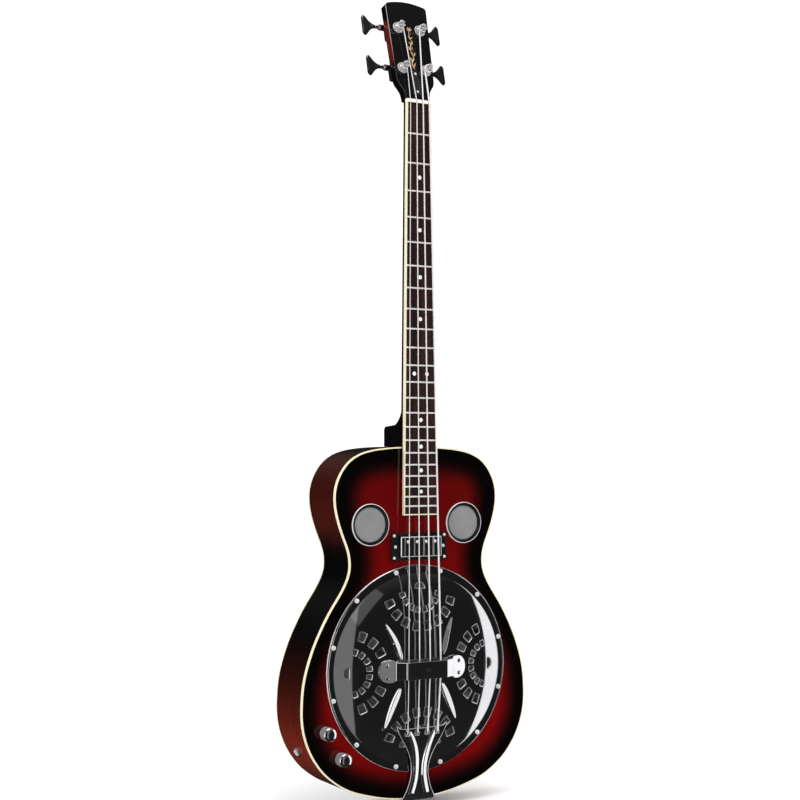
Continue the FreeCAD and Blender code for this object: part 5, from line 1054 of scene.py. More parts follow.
Hb = np.minimum(Hb, H - 0.25)
n_top = len(V2)
eps = 0.02
gr = (dome(r2 + eps) - dome(np.maximum(r2 - eps, 0))) / (2 * eps)
px, pz = np.array([eps, 0]), np.array([0, eps])
gx = gr * V2[:, 0] / np.maximum(r2, 1e-6) + (ribs_height(V2 + px) - ribs_height(V2 - px)) / (2 * eps)
gz = gr * V2[:, 1] / np.maximum(r2, 1e-6) + (ribs_height(V2 + pz) - ribs_height(V2 - pz)) / (2 * eps)
top_n = np.stack([-gx, -np.ones(n_top), -gz], 1)
top_n /= np.linalg.norm(top_n, axis=1)[:, None]
top_n[(dh < 1.2) | (r2 > 147.7)] = 0
verts, faces = plate_mesh(V2, F, B(V2[:, 0], V2[:, 1] + CZ, H), B(V2[:, 0], V2[:, 1] + CZ, Hb))
cover = place("coverplate_pressed", verts, faces, [PLATE, EDGE_HIGHLIGHT], "instrument", 180, np.concatenate([top_n, np.zeros((n_top, 3))]), "plate_chrome", ("coverplate",))
# painted highlight: the pale edge metal on the rolled slot edges and the outer lip, so they show as bright lines
rolled = np.concatenate([(dh < 0.5) | (r2 > 147.2), np.zeros(n_top, bool)])
cover.data.polygons.foreach_set("material_index", [1 if sum(bool(rolled[i]) for i in p.vertices) >= 3 else 0 for p in cover.data.polygons])


# ------------------------------------------------------------------ screws
def pan_screw(parts, origin, axis, r, head, shank, length, cross=True, turn=0.3, under=0.0):
    """Pan head with a recess cut in as real walls, and a plain shank."""
    o, u, w, a = frame_of(origin, axis)
    c, s = math.cos(turn), math.sin(turn)
    u, w = u * c + w * s, w * c - u * s
    n = 48
    arm = r * 0.58
    half = r * 0.12

    def recess(t):
        ct, st = abs(math.cos(t)), abs(math.sin(t))
        if not cross:
            return min(arm / max(ct, 1e-6), half / max(st, 1e-6))
        a1 = min(arm / max(ct, 1e-6), half / max(st, 1e-6))
        a2 = min(arm / max(st, 1e-6), half / max(ct, 1e-6))
        return max(a1, a2)

    def dome_h(rr):
        return head * (0.35 + 0.65 * math.sqrt(max(0.0, 1 - (rr / r) ** 2)))

    rings = []
    ts = [2 * math.pi * i / n for i in range(n)]
    rows = []
    rows.append([(0.25 * recess(t), dome_h(0) * 0.35) for t in ts])
    rows.append([(0.92 * recess(t), dome_h(recess(t)) * 0.35) for t in ts])
    rows.append([(recess(t), dome_h(recess(t)) - 0.03 * r) for t in ts])
    rows.append([(recess(t) + 0.05 * r, dome_h(recess(t) + 0.05 * r)) for t in ts])
    for q in (0.74, 0.86, 0.95):
        rows.append([(max(r * q, recess(t) + 0.07 * r), dome_h(r * q)) for t in ts])
    rows.append([(r * 0.995, head * 0.36) for t in ts])
    rows.append([(r, head * 0.22) for t in ts])
    rows.append([(r * 0.96, 0.0) for t in ts])
    rows.append([(shank, 0.0) for t in ts])
    rows.append([(shank, -length) for t in ts])
    verts, faces = [], []
    verts.append(o + a * (dome_h(0) * 0.35))
    for row in rows:
        for t, (rr, h) in zip(ts, row):
            verts.append(o + a * h + u * (rr * math.cos(t)) + w * (rr * math.sin(t)))
    verts.append(o + a * (-length - shank))
    for i in range(n):
        j = (i + 1) % n
        faces.append((0, 1 + i, 1 + j))
        for k in range(len(rows) - 1):
            faces.append((1 + k * n + i, 1 + (k + 1) * n + i, 1 + (k + 1) * n + j, 1 + k * n + j))
        faces.append((len(verts) - 1, 1 + (len(rows) - 1) * n + j, 1 + (len(rows) - 1) * n + i))
    parts.add(verts, faces)


OUT = Vector((0, -1, 0))
P_ = Parts()
for i in range(12):
    a = math.radians(15 + 30 * i)
    x, z = 142.5 * math.cos(a), CZ + 142.5 * math.sin(a)
    pan_screw(P_, Vector(B(x, z, RH - 0.22)), OUT, 3.4 * MM, 1.9 * MM, 1.55 * MM, 5.0 * MM, True, random.random() * 1.5)
P_.place("coverplate_screw_set", STEEL, slot="chrome_hardware", replaces=("coverplate_screws",), angle=32)

# ------------------------------------------------------------------ palm rest
f0, f2 = float(dome(52.0)), float(dome(72.0))
path = [(-71.6, f2 + 1.0), (-68.0, f2 + 1.5), (-62.0, f2 + 2.9), (-56.0, f2 + 4.4), (-51.0, f2 + 5.8), (-47.6, f0 + 6.2), (-45.4, f0 + 8.0), (-34.8, 26.6), (-33.2, 28.9), (-30.6, 29.5)]
path = path + [(-24.0, 29.5), (0.0, 29.55), (24.0, 29.5)] + [(-x, h) for x, h in reversed(path)]
c = catmull([np.array(p) for p in path], 6)
s_ = np.concatenate([[0], np.cumsum(np.linalg.norm(np.diff(c, axis=0), axis=1))])
t_ = np.gradient(c, axis=0)
t_ /= np.linalg.norm(t_, axis=1)[:, None]
nrm = np.stack([-t_[:, 1], t_[:, 0]], 1)
verts, faces = [], []
K = 0
th = 0.9
for i in range(len(c)):
    ax = abs(c[i][0])
    wide = float(np.interp(ax, [0, 36, 45.8, 47.2, 48.6, 50.5, 53.0, 56.5, 60.0, 63.5, 66.5, 69.0, 70.6, 71.4, 71.7], [12.4, 12.4, 12.6, 13.6, 14.6, 15.7, 16.3, 16.4, 15.9, 14.7, 12.8, 9.8, 7.0, 3.8, 0.4]))
    ring = []
    cs = 7
    rr = min(0.75, wide * 0.5)
    for qx, qy, a0 in ((wide - rr, th - rr, 0), (-(wide - rr), th - rr, 90), (-(wide - rr), -(th - rr), 180), (wide - rr, -(th - rr), 270)):
        for k in range(4):
            a = math.radians(a0 + 30 * k)
            ring.append((qx + rr * math.cos(a), qy + rr * math.sin(a)))
    K = len(ring)
    for across, up in ring:
        p = c[i] + nrm[i] * up
        verts.append(tuple(B(p[0], CZ + across, p[1])))
for i in range(len(c) - 1):
    for k in range(K):
        m = (k + 1) % K
        faces.append((i * K + k, i * K + m, (i + 1) * K + m, (i + 1) * K + k))
faces.append(tuple(range(K)))
faces.append(tuple(range((len(c) - 1) * K, len(c) * K))[::-1])
rest = Parts()
rest.add(verts, faces)
place("palm_rest_bent", rest.v, rest.f, CHROME, "instrument", 180, None, "chrome_hardware", ("palm_rest",))
P_ = Parts()
for sx in (-1, 1):
    for sy in (-1, 1):
        pan_screw(P_, Vector(B(sx * 59.5, CZ + sy * 8.8, f2 + 4.3)), OUT, 3.1 * MM, 1.7 * MM, 1.4 * MM, 3.0 * MM, False, random.random() * 2)
P_.place("palm_rest_screw_set", CHROME, slot="chrome_hardware", replaces=("palm_rest_screws",), angle=32)
# eyelet in the middle of the rest's face
v, f = torus_lathe([((2.6 + 0.7 * math.cos(t)) * MM, (0.35 * math.sin(t)) * MM) for t in np.linspace(0, 2 * math.pi, 12, endpoint=False)], Vector(B(0, CZ, 30.5)), OUT, 40)
place("palm_rest_eyelet", v, f, KEYS, "instrument", 180, None, "chrome_hardware", ())
# painted shade: a black disc fills the hole in the rest's face, standing in for the dark inside it
v, f = lathe([(0, -0.6 * MM), (1.9 * MM, -0.6 * MM), (1.95 * MM, 0.02 * MM), (0, 0.06 * MM)], Vector(B(0, CZ, 30.45)), OUT, 32)
place("palm_rest_hole", v, f, BLACKP, "instrument", 30, None, "chrome_hardware", ())

# ------------------------------------------------------------------ sound screens
for tag, sx in (("left", -1), ("right", 1)):
    o = Vector(B(sx * 78.0, 393.5, 0))
    parts = Parts()
    prof = [(26.4, -1.2), (26.35, -5.8), (25.7, -5.8), (24.9, -3.0), (24.75, -0.55), (24.9, -0.05), (25.2, 0.06), (25.5, -0.05), (25.8, -0.42), (26.2, -0.6), (26.6, -0.5), (27.4, 0.12), (28.2, 0.3), (28.5, 0.75)]
    prof += [(29.3 + 0.8 * math.cos(t), 1.0 + 0.8 * math.sin(t)) for t in np.linspace(math.pi * 0.9, -0.12, 10)]
    prof += [(30.1, 0.02), (27.0, 0.0)]
    v, f = torus_lathe([(r * MM, h * MM) for r, h in prof], o, OUT, 120)
    parts.add(v, f, 0)
    # painted shade: a black ring laid in the groove between the lip and the mesh, where shade falls
    v, f = torus_lathe([(r * MM, h * MM) for r, h in ((25.6, -0.2), (26.2, -0.35), (27.4, 0.3), (28.35, 0.5), (28.35, 0.75), (27.4, 0.55), (26.2, 0.1), (25.6, 0.1))], o, OUT, 120)
    parts.add(v, f, 2)
    # woven wire, two sets passing over and under each other
    pitch, wr, R = 1.05, 0.29, 25.0
    ks = np.arange(-24, 25)
    for fam in (0, 1):
        for k in ks:
            q = k * pitch
            if abs(q) >= R - 0.6:
                continue
            L = math.sqrt(R * R - q * q)
            n = max(6, int(2 * L / (pitch / 3)))
            t = np.linspace(-L, L, n)
            crown = 2.3 - 2.9 * (t * t + q * q) / (R * R)
            wave = 0.24 * np.cos(math.pi * t / pitch) * (1 if (k + fam) % 2 else -1)
            x, z = (t, np.full(n, q)) if fam == 0 else (np.full(n, q), t)
            pts = B(sx * 78.0 + x, 393.5 + z, crown + wave - 0.9)
            v, f = tube(pts, wr * MM, 5)
            parts.add(v, f, 1)
    # painted shade: a black disc behind the wires stands in for the dark inside the body
    v, f = lathe([(0, -0.95 * MM), (12 * MM, -1.15 * MM), (25.75 * MM, -2.3 * MM), (25.75 * MM, -2.9 * MM), (12 * MM, -1.8 * MM), (0, -1.6 * MM)], o, OUT, 64)
    parts.add(v, f, 2)
    screen = parts.place("sound_screen_%s_woven" % tag, [EDGE_HIGHLIGHT, GAUZE, BLACKP], slot="chrome_hardware", replaces=("sound_screen_" + tag,), angle=40)
    # painted shade: rim faces within 29.2 mm of the centre, the collar into the hole and the groove, turn black
    # plastic; the outer bead keeps the pale painted-highlight edge metal
    for p_ in screen.data.polygons:
        if p_.material_index == 0 and math.hypot(p_.center.x - o.x, p_.center.z - o.z) < 29.2 * MM:
            p_.material_index = 2

# ------------------------------------------------------------------ pickup
refine("pickup_ring", BLACKP, 0.6, 3, 40, slot="black_plastic")
cov = refine("pickup_cover", CHROME, 1.1, 4, 40, slot="chrome_hardware", smooth=50)
# painted highlight: the cover's sloped front bevel takes the pale edge metal, so its outline shows bright
cov.data.materials.append(EDGE_HIGHLIGHT)
clo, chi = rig.box("pickup_cover")
for poly_ in cov.data.polygons:
    c_ = poly_.center
    if 0.20 < -poly_.normal.y < 0.93 and c_.y < clo.y + 1.4 * MM:
        poly_.material_index = 1
refine("pickup_coils", BLACKP, 0.2, 1, 40, slot="black_plastic")
P_ = Parts()
for x in (-22.5, -7.5, 7.5, 22.5):
    lo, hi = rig.box("pickup_pole_screws")
for o_ in (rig.box("pickup_pole_screws"),):
    lo, hi = o_
px0, px1 = lo.x / MM + 2.25, hi.x / MM - 2.25
for k in range(4):
    x = px0 + (px1 - px0) * k / 3
    pan_screw(P_, Vector(B(x, 361.2 + 7.2, 11.35)), OUT, 2.25 * MM, 1.0 * MM, 1.6 * MM, 14.0 * MM, False, 0.2 + 0.7 * k)
P_.place("pickup_pole_screw_set", STEEL, slot="steel_screws", replaces=("pickup_pole_screws",), angle=32)
P_ = Parts()
for sx in (-1, 1):
    for x, z, r in ((41.8, 15.9, 2.2), (41.8, -15.9, 2.2), (39.8, 0, 2.3)):
        pan_screw(P_, Vector(B(sx * x, 361.2 + z, 5.0)), OUT, r * MM, 1.15 * MM, 1.15 * MM, 5.0 * MM, bool(z), random.random() * 1.5)
P_.place("pickup_screw_set", STEEL, slot="steel_screws", replaces=("pickup_screws",), angle=32)

# ------------------------------------------------------------------ controls
KR, KH = 9.6, 18.5
for tag, kx, kz in (("volume", -149.0, 106.0), ("tone", -124.8, 68.0)):
    o = Vector(B(kx, kz, 0))
    cap = [(r, 18.75 - 2.36 * (r / 9.1) ** 3.23) for r in np.linspace(9.1, 0.0, 16)[:-1]] + [(0, 18.75)]
    prof = [(3.0, 14.0), (3.0, 4.6), (7.2, 4.6), (7.25, 1.3), (8.6, 1.2), (9.15, 1.25), (9.4, 1.6), (9.5, 2.3), (9.2, 2.6), (9.2, 3.1), (9.55, 3.4), (9.6, 4.2), (9.6, 12.8), (9.6, 14.6), (9.3, 14.85), (9.3, 15.15), (9.55, 15.4), (9.5, 15.9)]
    v, f = lathe([(0, 14.0 * MM)] + [(r * MM, h * MM) for r, h in prof + cap], o, OUT, 96,
                 shape=lambda t, h: 1.0 + (0.008 * math.cos(48 * t) if 0.0042 < h < 0.0146 else 0.0))
    parts = Parts()
    n_rings = 1 + len(prof) + len(cap)
    low = [q for q in f if max(q) <= 1 + 96 * (len(prof) - 2)]
    top = [q for q in f if max(q) > 1 + 96 * (len(prof) - 2)]
    parts.add(v, low + top, 1)
    for q in range(len(low), len(low) + len(top)):
        parts.mi[q] = 0
    # grub screw socket in the skirt
    d = Vector((-0.5, 0, -0.86)).normalized()
    v, f = torus_lathe([((1.35 + 0.35 * math.cos(t)) * MM, 0.22 * math.sin(t) * MM) for t in np.linspace(0, 2 * math.pi, 10, endpoint=False)], o + OUT * 8.2 * MM + d * 9.55 * MM, d, 24)
    parts.add(v, f, 0)
    v, f = lathe([(0, -0.4 * MM), (1.05 * MM, -0.4 * MM), (1.05 * MM, 0.08 * MM), (0, 0.04 * MM)], o + OUT * 8.2 * MM + d * 9.55 * MM, d, 6)
    parts.add(v, f, 2)
    parts.place(tag + "_knob_barrel", [CHROME, SATIN, BLACKP], body=tag + "_knob_unit", slot="chrome_hardware", replaces=(tag + "_knob",), angle=28)
    refine("pot_shaft_" + tag, STEEL, 0.15, 1, 35, slot="steel_screws")
refine("control_nuts", CHROME, 0.25, 2, 30, slot="chrome_hardware")
refine("output_jack", STEEL, 0.25, 2, 30, slot="steel_screws")
refine("strap_button", CHROME, 0.3, 2, 40, slot="chrome_hardware", smooth=60)

# ------------------------------------------------------------------ tailpiece
# centre line in (height up the body, height over the soundboard), from the string end down round the edge
line = [(107.5, 13.75), (100, 13.65), (90, 13.35), (76, 12.0), (62, 9.8), (50, 7.9), (40, 6.9), (26, 6.0), (13, 5.0), (5.5, 4.0), (1.2, 2.6), (-1.6, 0.4), (-2.6, -2.8), (-2.6, -10), (-2.6, -25), (-2.6, -52)]
cl = catmull([np.array(p, float) for p in line], 10)
sc_ = np.concatenate([[0], np.cumsum(np.linalg.norm(np.diff(cl, axis=0), axis=1))])
S_OF_Z = lambda z: np.interp(-z, -cl[:, 0], sc_)
S_OF_N = lambda n: np.interp(-n, -cl[90:, 1], sc_[90:])
tan = np.gradient(cl, axis=0)
tan /= np.linalg.norm(tan, axis=1)[:, None]
nor_ = np.stack([-tan[:, 1], tan[:, 0]], 1)
nor_ = np.where(nor_[:1, 1:2] > 0, nor_, -nor_)


def tp(x, s, h):
    """Point of the tailpiece: across, along its strip, height over the strip's outer face."""
    z = np.interp(s, sc_, cl[:, 0])
    n = np.interp(s, sc_, cl[:, 1])
    nz, nn = np.interp(s, sc_, nor_[:, 0]), np.interp(s, sc_, nor_[:, 1])
    return B(x, z + nz * h, n + nn * h)


s_top = float(S_OF_Z(107.4))
widths = [(S_OF_Z(107.2), 42.2), (S_OF_Z(96), 37.4), (S_OF_Z(85), 30.8), (S_OF_Z(70), 22.0), (S_OF_Z(56), 16.5), (S_OF_Z(43), 14.3), (S_OF_Z(31), 15.3), (S_OF_Z(18), 19.0), (S_OF_Z(8), 23.4),
          (S_OF_Z(1.5), 26.6), (S_OF_N(-3), 25.2), (S_OF_N(-8), 21.8), (S_OF_N(-14), 20.0), (S_OF_N(-32), 16.6), (S_OF_N(-48), 13.6)]
right_side = catmull([np.array((w, float(s))) for s, w in widths], 8)
s_end = float(S_OF_N(-51.8))
foot = [np.array((11.8, s_end - 1.6)), np.array((9.0, s_end)), np.array((0.0, s_end + 0.0))]
top_edge = [np.array((40.6, s_top - 0.3)), np.array((38.2, s_top + 1.2)), np.array((35.5, float(S_OF_Z(104.2)))), np.array((31.0, float(S_OF_Z(103.2)))), np.array((24, float(S_OF_Z(102.8)))), np.array((0, float(S_OF_Z(102.4))))]
top_edge = [p for p in catmull(top_edge, 5)]
half = [p for p in top_edge[::-1]] + list(right_side) + foot
poly = half + [np.array((-p[0], p[1])) for p in half[::-1][1:-1]]
poly = densify(np.array(poly), 1.5)
holes = []
for k in range(4):
    x = 16.5 * (k - 1.5)
    holes.append(densify(rounded(np.array([(x - 3.2, S_OF_Z(98.9)), (x + 3.2, S_OF_Z(98.9)), (x + 3.2, S_OF_Z(92.6)), (x - 3.2, S_OF_Z(92.6))], float), 1.6, 4), 0.9))
holes.append(circle(0, float(S_OF_N(-40.5)), 3.2, 20))
if signed_area(poly) < 0:
    poly = poly[::-1]
rib_c = catmull([np.array(p, float) for p in [(20.5, S_OF_Z(97.5)), (15.8, S_OF_Z(88)), (11.2, S_OF_Z(76)), (8.0, S_OF_Z(62)), (6.6, S_OF_Z(48)), (6.9, S_OF_Z(34)), (9.6, S_OF_Z(20)), (12.4, S_OF_Z(10.5))]], 14)
rs = np.linspace(0, 1, len(rib_c))
rib_w = np.interp(rs, [0, 0.1, 0.4, 0.7, 0.9, 1.0], [3.0, 4.0, 4.7, 4.6, 4.6, 4.4])


def tail_height(P):
    h = np.zeros(len(P))
    for sgn in (-1, 1):
        c = rib_c * np.array([sgn, 1.0])
        t = np.gradient(c, axis=0)
        t /= np.linalg.norm(t, axis=1)[:, None]
        ac = np.stack([-t[:, 1], t[:, 0]], 1)
        ac *= np.where(ac[:, :1] > 0, 1.0, -1.0)
        gap = P[:, None, :] - c[None]
        k = np.linalg.norm(gap, axis=2).argmin(1)
        u = np.sum(gap[np.arange(len(P)), k] * ac[k], axis=1) / rib_w[k]
        far = np.linalg.norm(gap[np.arange(len(P)), k], axis=1) / rib_w[k]
        e = np.clip(1.0 - (far ** 2 - u ** 2) / 0.8, 0, 1)
        h = np.maximum(h, 0.50 * rib_w[k] * np.sqrt(e) * flank_profile(np.clip(u, -1, 1)))
    return h


gx, gs = np.meshgrid(np.arange(-42, 42.1, 1.5), np.arange(0.5, s_end, 1.5))
I = np.stack([gx.ravel(), gs.ravel()], 1)
t = np.gradient(rib_c, axis=0)
t /= np.linalg.norm(t, axis=1)[:, None]
nor2 = np.stack([t[:, 1], -t[:, 0]], 1)
lines_ = [rib_c + nor2 * (rib_w * k)[:, None] for k in (-1.15, -1.0, -0.85, -0.7, -0.5, -0.3, 0, 0.3, 0.6, 0.85, 1.0, 1.15)]
lines_ = [l * np.array([sg, 1.0]) for l in lines_ for sg in (-1, 1)]
big = np.concatenate(lines_)
dd = np.concatenate([np.min(np.linalg.norm(I[k:k + 400, None, :] - big[None], axis=2), axis=1) for k in range(0, len(I), 400)])
I = np.concatenate([I[dd > 0.7], big])
I = I[inside(offset_loop(poly, -1.1), I)]
for h in holes:
    I = I[~inside(offset_loop(h, 1.1), I)]
rings = [offset_loop(h, d_) for h in holes for d_ in (0.35, 0.8)] + [offset_loop(poly, -0.35), offset_loop(poly, -0.8)]
V2, F = planar(poly, holes, np.concatenate([I] + rings))
edge_pts = np.concatenate([densify(poly, 0.5)] + [densify(h, 0.4) for h in holes])
de = np.concatenate([np.min(np.linalg.norm(V2[k:k + 300, None, :] - edge_pts[None], axis=2), axis=1) for k in range(0, len(V2), 300)])
roll = np.interp(de, [0, 0.35, 0.8], [0.75, 0.22, 0.0])
H = tail_height(V2) - roll
verts, faces = plate_mesh(V2, F[:, ::-1], tp(V2[:, 0], V2[:, 1], H), tp(V2[:, 0], V2[:, 1], np.minimum(H - 0.4, -1.7 + 0.0 * H)))
tail_ = place("tailpiece_pressed", verts, faces, [CHROME, EDGE_HIGHLIGHT], "instrument", 180, None, "chrome_hardware", ("tailpiece",))
# painted highlight: the pale edge metal on the rolled outline and slot edges, so they show as bright lines
rolled = np.concatenate([de < 0.40, np.zeros(len(V2), bool)])
tail_.data.polygons.foreach_set("material_index", [1 if sum(bool(rolled[i]) for i in p.vertices) >= 3 and len(p.vertices) == 3 else 0 for p in tail_.data.polygons])
P_ = Parts()
DOWN = Vector((0, 0, -1))
for x in (-13.0, 13.0):
    pan_screw(P_, Vector((x * MM, -12.5 * MM, -2.6 * MM)), DOWN, 3.2 * MM, 1.9 * MM, 1.4 * MM, 14 * MM, False, 0.0)
P_.place("tailpiece_screw_set", STEEL, slot="chrome_hardware", replaces=("tailpiece_screws",), angle=32)

# ------------------------------------------------------------------ strings
GAUGES = [1.14, 1.65, 2.16, 2.67]
POSTS = [(-19.5, 49.0), (-18.5, 113.7), (18.5, 113.7), (19.5, 49.0)]
WRAP = [6.2, 7.4, 7.4, 6.2]


def np3(v):
    return np.array((v[0], v[1], v[2]), float)


for k in range(4):
    g = GAUGES[k]
    r = g / 2
    tail = B(16.5 * (k - 1.5), 97.0, 15.0) / MM
    crest = B(17.6 * (k - 1.5), CZ, 20.0 + r + 0.03) / MM
    nut_pt = np3(at(NECK, 10.4 * (k - 1.5), 0.6, 1.2 + r + 0.07)) / MM
    px, ps = POSTS[k]
    R = 3.6 + r + 0.06
    nh = np3(HEAD.inverted() @ Vector(nut_pt * MM)) / MM
    c2 = np.array((px, ps, WRAP[k]))
    side = 1 if px < 0 else -1
    d2 = c2[:2] - nh[:2]
    L2 = np.linalg.norm(d2)
    phi = math.atan2(d2[1], d2[0])
    off = math.asin(R / L2)
    tl = math.sqrt(L2 * L2 - R * R)
    da = phi - side * off
    T = np.array((nh[0] + tl * math.cos(da), nh[1] + tl * math.sin(da), WRAP[k]))
    Tw = np3(at(HEAD, *T)) / MM
    corner = [tail, crest, nut_pt, Tw]
    pts = []
    start = tail
    for i, rad in ((1, 25.0), (2, 9.0)):
        p, a, c = corner[i], corner[i - 1], corner[i + 1]
        u, v = (a - p) / np.linalg.norm(a - p), (c - p) / np.linalg.norm(c - p)
        ang = math.acos(float(u @ v))
        tt = rad / math.tan(ang / 2)
        p1, p2 = p + u * tt, p + v * tt
        m = (u + v) / np.linalg.norm(u + v)
        cc = p + m * (rad / math.sin(ang / 2))
        n = max(2, int(np.linalg.norm(p1 - start) / 0.25))
        pts += [start + (p1 - start) * q / n for q in range(n)]
        e1, e2 = p1 - cc, p2 - cc
        n = max(4, int(np.linalg.norm(p2 - p1) / 0.25))
        for q in range(n):
            w = q / n
            e = e1 * (1 - w) + e2 * w
            pts.append(cc + e / np.linalg.norm(e) * rad)
        start = p2
    n = int(np.linalg.norm(Tw - start) / 0.25)
    pts += [start + (Tw - start) * q / n for q in range(n)]
    # round the post: rising turns on its waist
    a0 = math.atan2(T[1] - ps, T[0] - px)
    turn = 1.22 if g > 2 else (1.8 if g > 1.5 else 2.3)
    n = int(turn * 2 * math.pi * R / 0.25)
    rise = min(g + 0.12, (10.6 - WRAP[k] - r) / turn)
    for q in range(n + 1):
        w = q / n * turn
        a = a0 + side * 2 * math.pi * w
        pts.append(np3(at(HEAD, px + R * math.cos(a), ps + R * math.sin(a), WRAP[k] + rise * w)) / MM)
    pts = np.array(pts) * MM
    s = np.concatenate([[0], np.cumsum(np.linalg.norm(np.diff(pts, axis=0), axis=1))])
    total = s[-1]
    wrap_r = np.full(len(pts), r)
    # silk-free lead-in where the winding is doubled, next to the ball end
    wrap_r = wrap_r + np.interp(s, [0, 0.011, 0.012], [0.26, 0.26, 0.0]) * (0.5 + 0.5 * r)
    wrap_r = np.where(s > total - 0.0006, wrap_r * 0.8, wrap_r)
    pitch = (0.78 + 0.16 * k) * MM
    grow = 0.045 + 0.01 * k
    v, f = tube(pts, np.minimum(wrap_r, r + 0.42) * MM * (1 - grow * 0.5), 8, lambda s_, th, p_=pitch, g_=grow: 1.0 + g_ * np.cos(2 * math.pi * s_ / p_ - th))
    parts = Parts()
    parts.add(v, f, 0)
    # ball end under the tailpiece's tab, with the wire looped over the tab's edge
    x = 16.5 * (k - 1.5)
    rr = min(0.75, 0.45 + 0.12 * k)
    loop = [B(x - 0.05, 97.6, 14.9), B(x, 96.2, 14.6), B(x + 0.1, 94.6, 13.2), B(x + 0.1, 94.0, 11.9), B(x, 94.6, 11.3)]
    v, f = tube(catmull([np.array(p) for p in loop], 8), rr * MM, 10)
    parts.add(v, f, 0)
    parts.place("string_%d_wound" % (k + 1), [WOUND, BRASS], slot="string_steel", replaces=("string_%d" % (k + 1),), angle=180)

refine("bridge_saddle", MAPLE, 0.2, 2, 30, slot="saddle_maple")

# ------------------------------------------------------------------ neck, board, frets
refine("neck", NECKM, 0.5, 3, 38, slot="neck_lacquer", smooth=30)
refine("fretboard", ROSE, 0.12, 1, 40, slot="rosewood")
refine("fretboard_binding", CREAM, 0.3, 2, 40, slot="cream_binding")
refine("nut", BONE, 0.35, 3, 30, slot="nut_bone", smooth=45)
refine("fret_markers", PEARL, 0.05, 1, 40, slot="white_inlay")


def board_half(d):
    return (40.7 + 17.0 * d / 597.8) / 2


P_ = Parts()
for n in range(1, 23):
    d = 812.8 * (1 - 2 ** (-n / 12))
    hw = board_half(d) - 0.5
    secs = []
    for x, sc in ((-hw, 0.05), (-hw + 0.25, 0.55), (-hw + 0.8, 0.92), (-hw + 1.6, 1.0), (0, 1.0), (hw - 1.6, 1.0), (hw - 0.8, 0.92), (hw - 0.25, 0.55), (hw, 0.05)):
        ring = []
        for q in range(9):
            a = math.pi * q / 8
            ring.append((x, -d + 1.2 * math.cos(a), 1.08 * sc * math.sin(a) ** 0.8 - 0.02))
        ring.append((x, -d - 1.15, -0.35))
        ring.append((x, -d + 1.15, -0.35))
        secs.append(ring)
    m = len(secs[0])
    verts = [at(NECK, *p) for ring in secs for p in ring]
    faces = []
    for i in range(len(secs) - 1):
        for q in range(m):
            w = (q + 1) % m
            faces.append((i * m + q, (i + 1) * m + q, (i + 1) * m + w, i * m + w))
    faces.append(tuple(range(m)))
    faces.append(tuple(range((len(secs) - 1) * m, len(secs) * m))[::-1])
    P_.add(verts, faces)
P_.place("fret_wires", NICKEL, slot="fret_wire", replaces=("frets",), angle=50)

# ------------------------------------------------------------------ headstock
refine("headstock_veneer", FACE, 0.9, 3, 40, slot="neck_lacquer")
refine("truss_rod_cover", GLOSSY, 0.7, 4, 30, slot="black_plastic")
refine("tuner_housings", CHROME, 0.35, 2, 34, slot="chrome_hardware", smooth=40)
refine("tuner_bushings", BRIGHT, 0.3, 2, 28, slot="chrome_hardware")
P_ = Parts()
HOUT = Vector((0, -math.sin(math.radians(76)), math.cos(math.radians(76))))
for cy_ in (12.5, 41.0):
    pan_screw(P_, at(HEAD, 0, cy_, 1.62), HOUT, 1.95 * MM, 0.9 * MM, 0.9 * MM, 5 * MM, True, 0.5)
for px, ps in POSTS:
    pan_screw(P_, at(HEAD, px, ps - 12.0, -14.0 - 1.6), -HOUT, 1.75 * MM, 1.1 * MM, 0.9 * MM, 6 * MM, True, 0.9)
P_.place("headstock_screw_set", STEEL, slot="chrome_hardware", replaces=("headstock_screws",), angle=32)


def inlay_leaf(parts, cx, cy, ang, length, width, curl=0.0):
    c, s = math.cos(math.radians(ang)), math.sin(math.radians(ang))
    up, dn = [], []
    for i in range(13):
        t = i / 12
        w = width * math.sin(math.pi * t) ** 0.8 * (1 - 0.35 * t)
        bx = curl * length * t * t
        up.append((bx + w, length * t))
        dn.append((bx - w, length * t))
    ring = up + dn[::-1][1:-1]
    pts = [(cx + x * c - y * s, cy + x * s + y * c) for x, y in ring]
    n = len(pts)
    verts = [at(HEAD, x, y, -0.2) for x, y in pts] + [at(HEAD, x, y, 0.05) for x, y in pts]
    mx, my = sum(p[0] for p in pts) / n, sum(p[1] for p in pts) / n
    verts += [at(HEAD, mx, my, -0.2), at(HEAD, mx, my, 0.09)]
    faces = []
    for i in range(n):
        j = (i + 1) % n
        faces += [(i, j, n + j, n + i), (2 * n, j, i), (2 * n + 1, n + i, n + j)]
    parts.add(verts, faces)


P_ = Parts()
SH = -8.5
stem = catmull([np.array(p, float) for p in [(0.8, 58 + SH), (-1.8, 66 + SH), (1.9, 78 + SH), (-1.9, 90 + SH), (1.7, 102 + SH), (-1.2, 113 + SH), (0.2, 122 + SH)]], 12)
flat = [np3(at(HEAD, x, y, 0.0)) for x, y in stem]
v, f = tube(np.array(flat), np.interp(np.linspace(0, 1, len(flat)), [0, 0.5, 1], [0.85, 0.7, 0.35]) * MM, 8)
v = [np3(p) for p in v]
hn = np3(HOUT)
o0 = np3(at(HEAD, 0, 0, 0))
v = [p - hn * ((p - o0) @ hn) * 0.78 for p in v]
P_.add(v, f)
for y, sgn in ((61, 1), (70, -1), (79, 1), (88, -1), (97, 1), (106, -1)):
    bx = float(np.interp(y + SH, stem[:, 1], stem[:, 0]))
    inlay_leaf(P_, bx, y + SH, -sgn * 44, 8.2 - 0.03 * (y - 60), 1.55, -0.30 * sgn)
    inlay_leaf(P_, bx, y + 1.5 + SH, sgn * 68, 4.6, 1.0, 0.35 * sgn)
    inlay_leaf(P_, bx, y + 3.2 + SH, -sgn * 112, 3.4, 0.8, 0.2 * sgn)
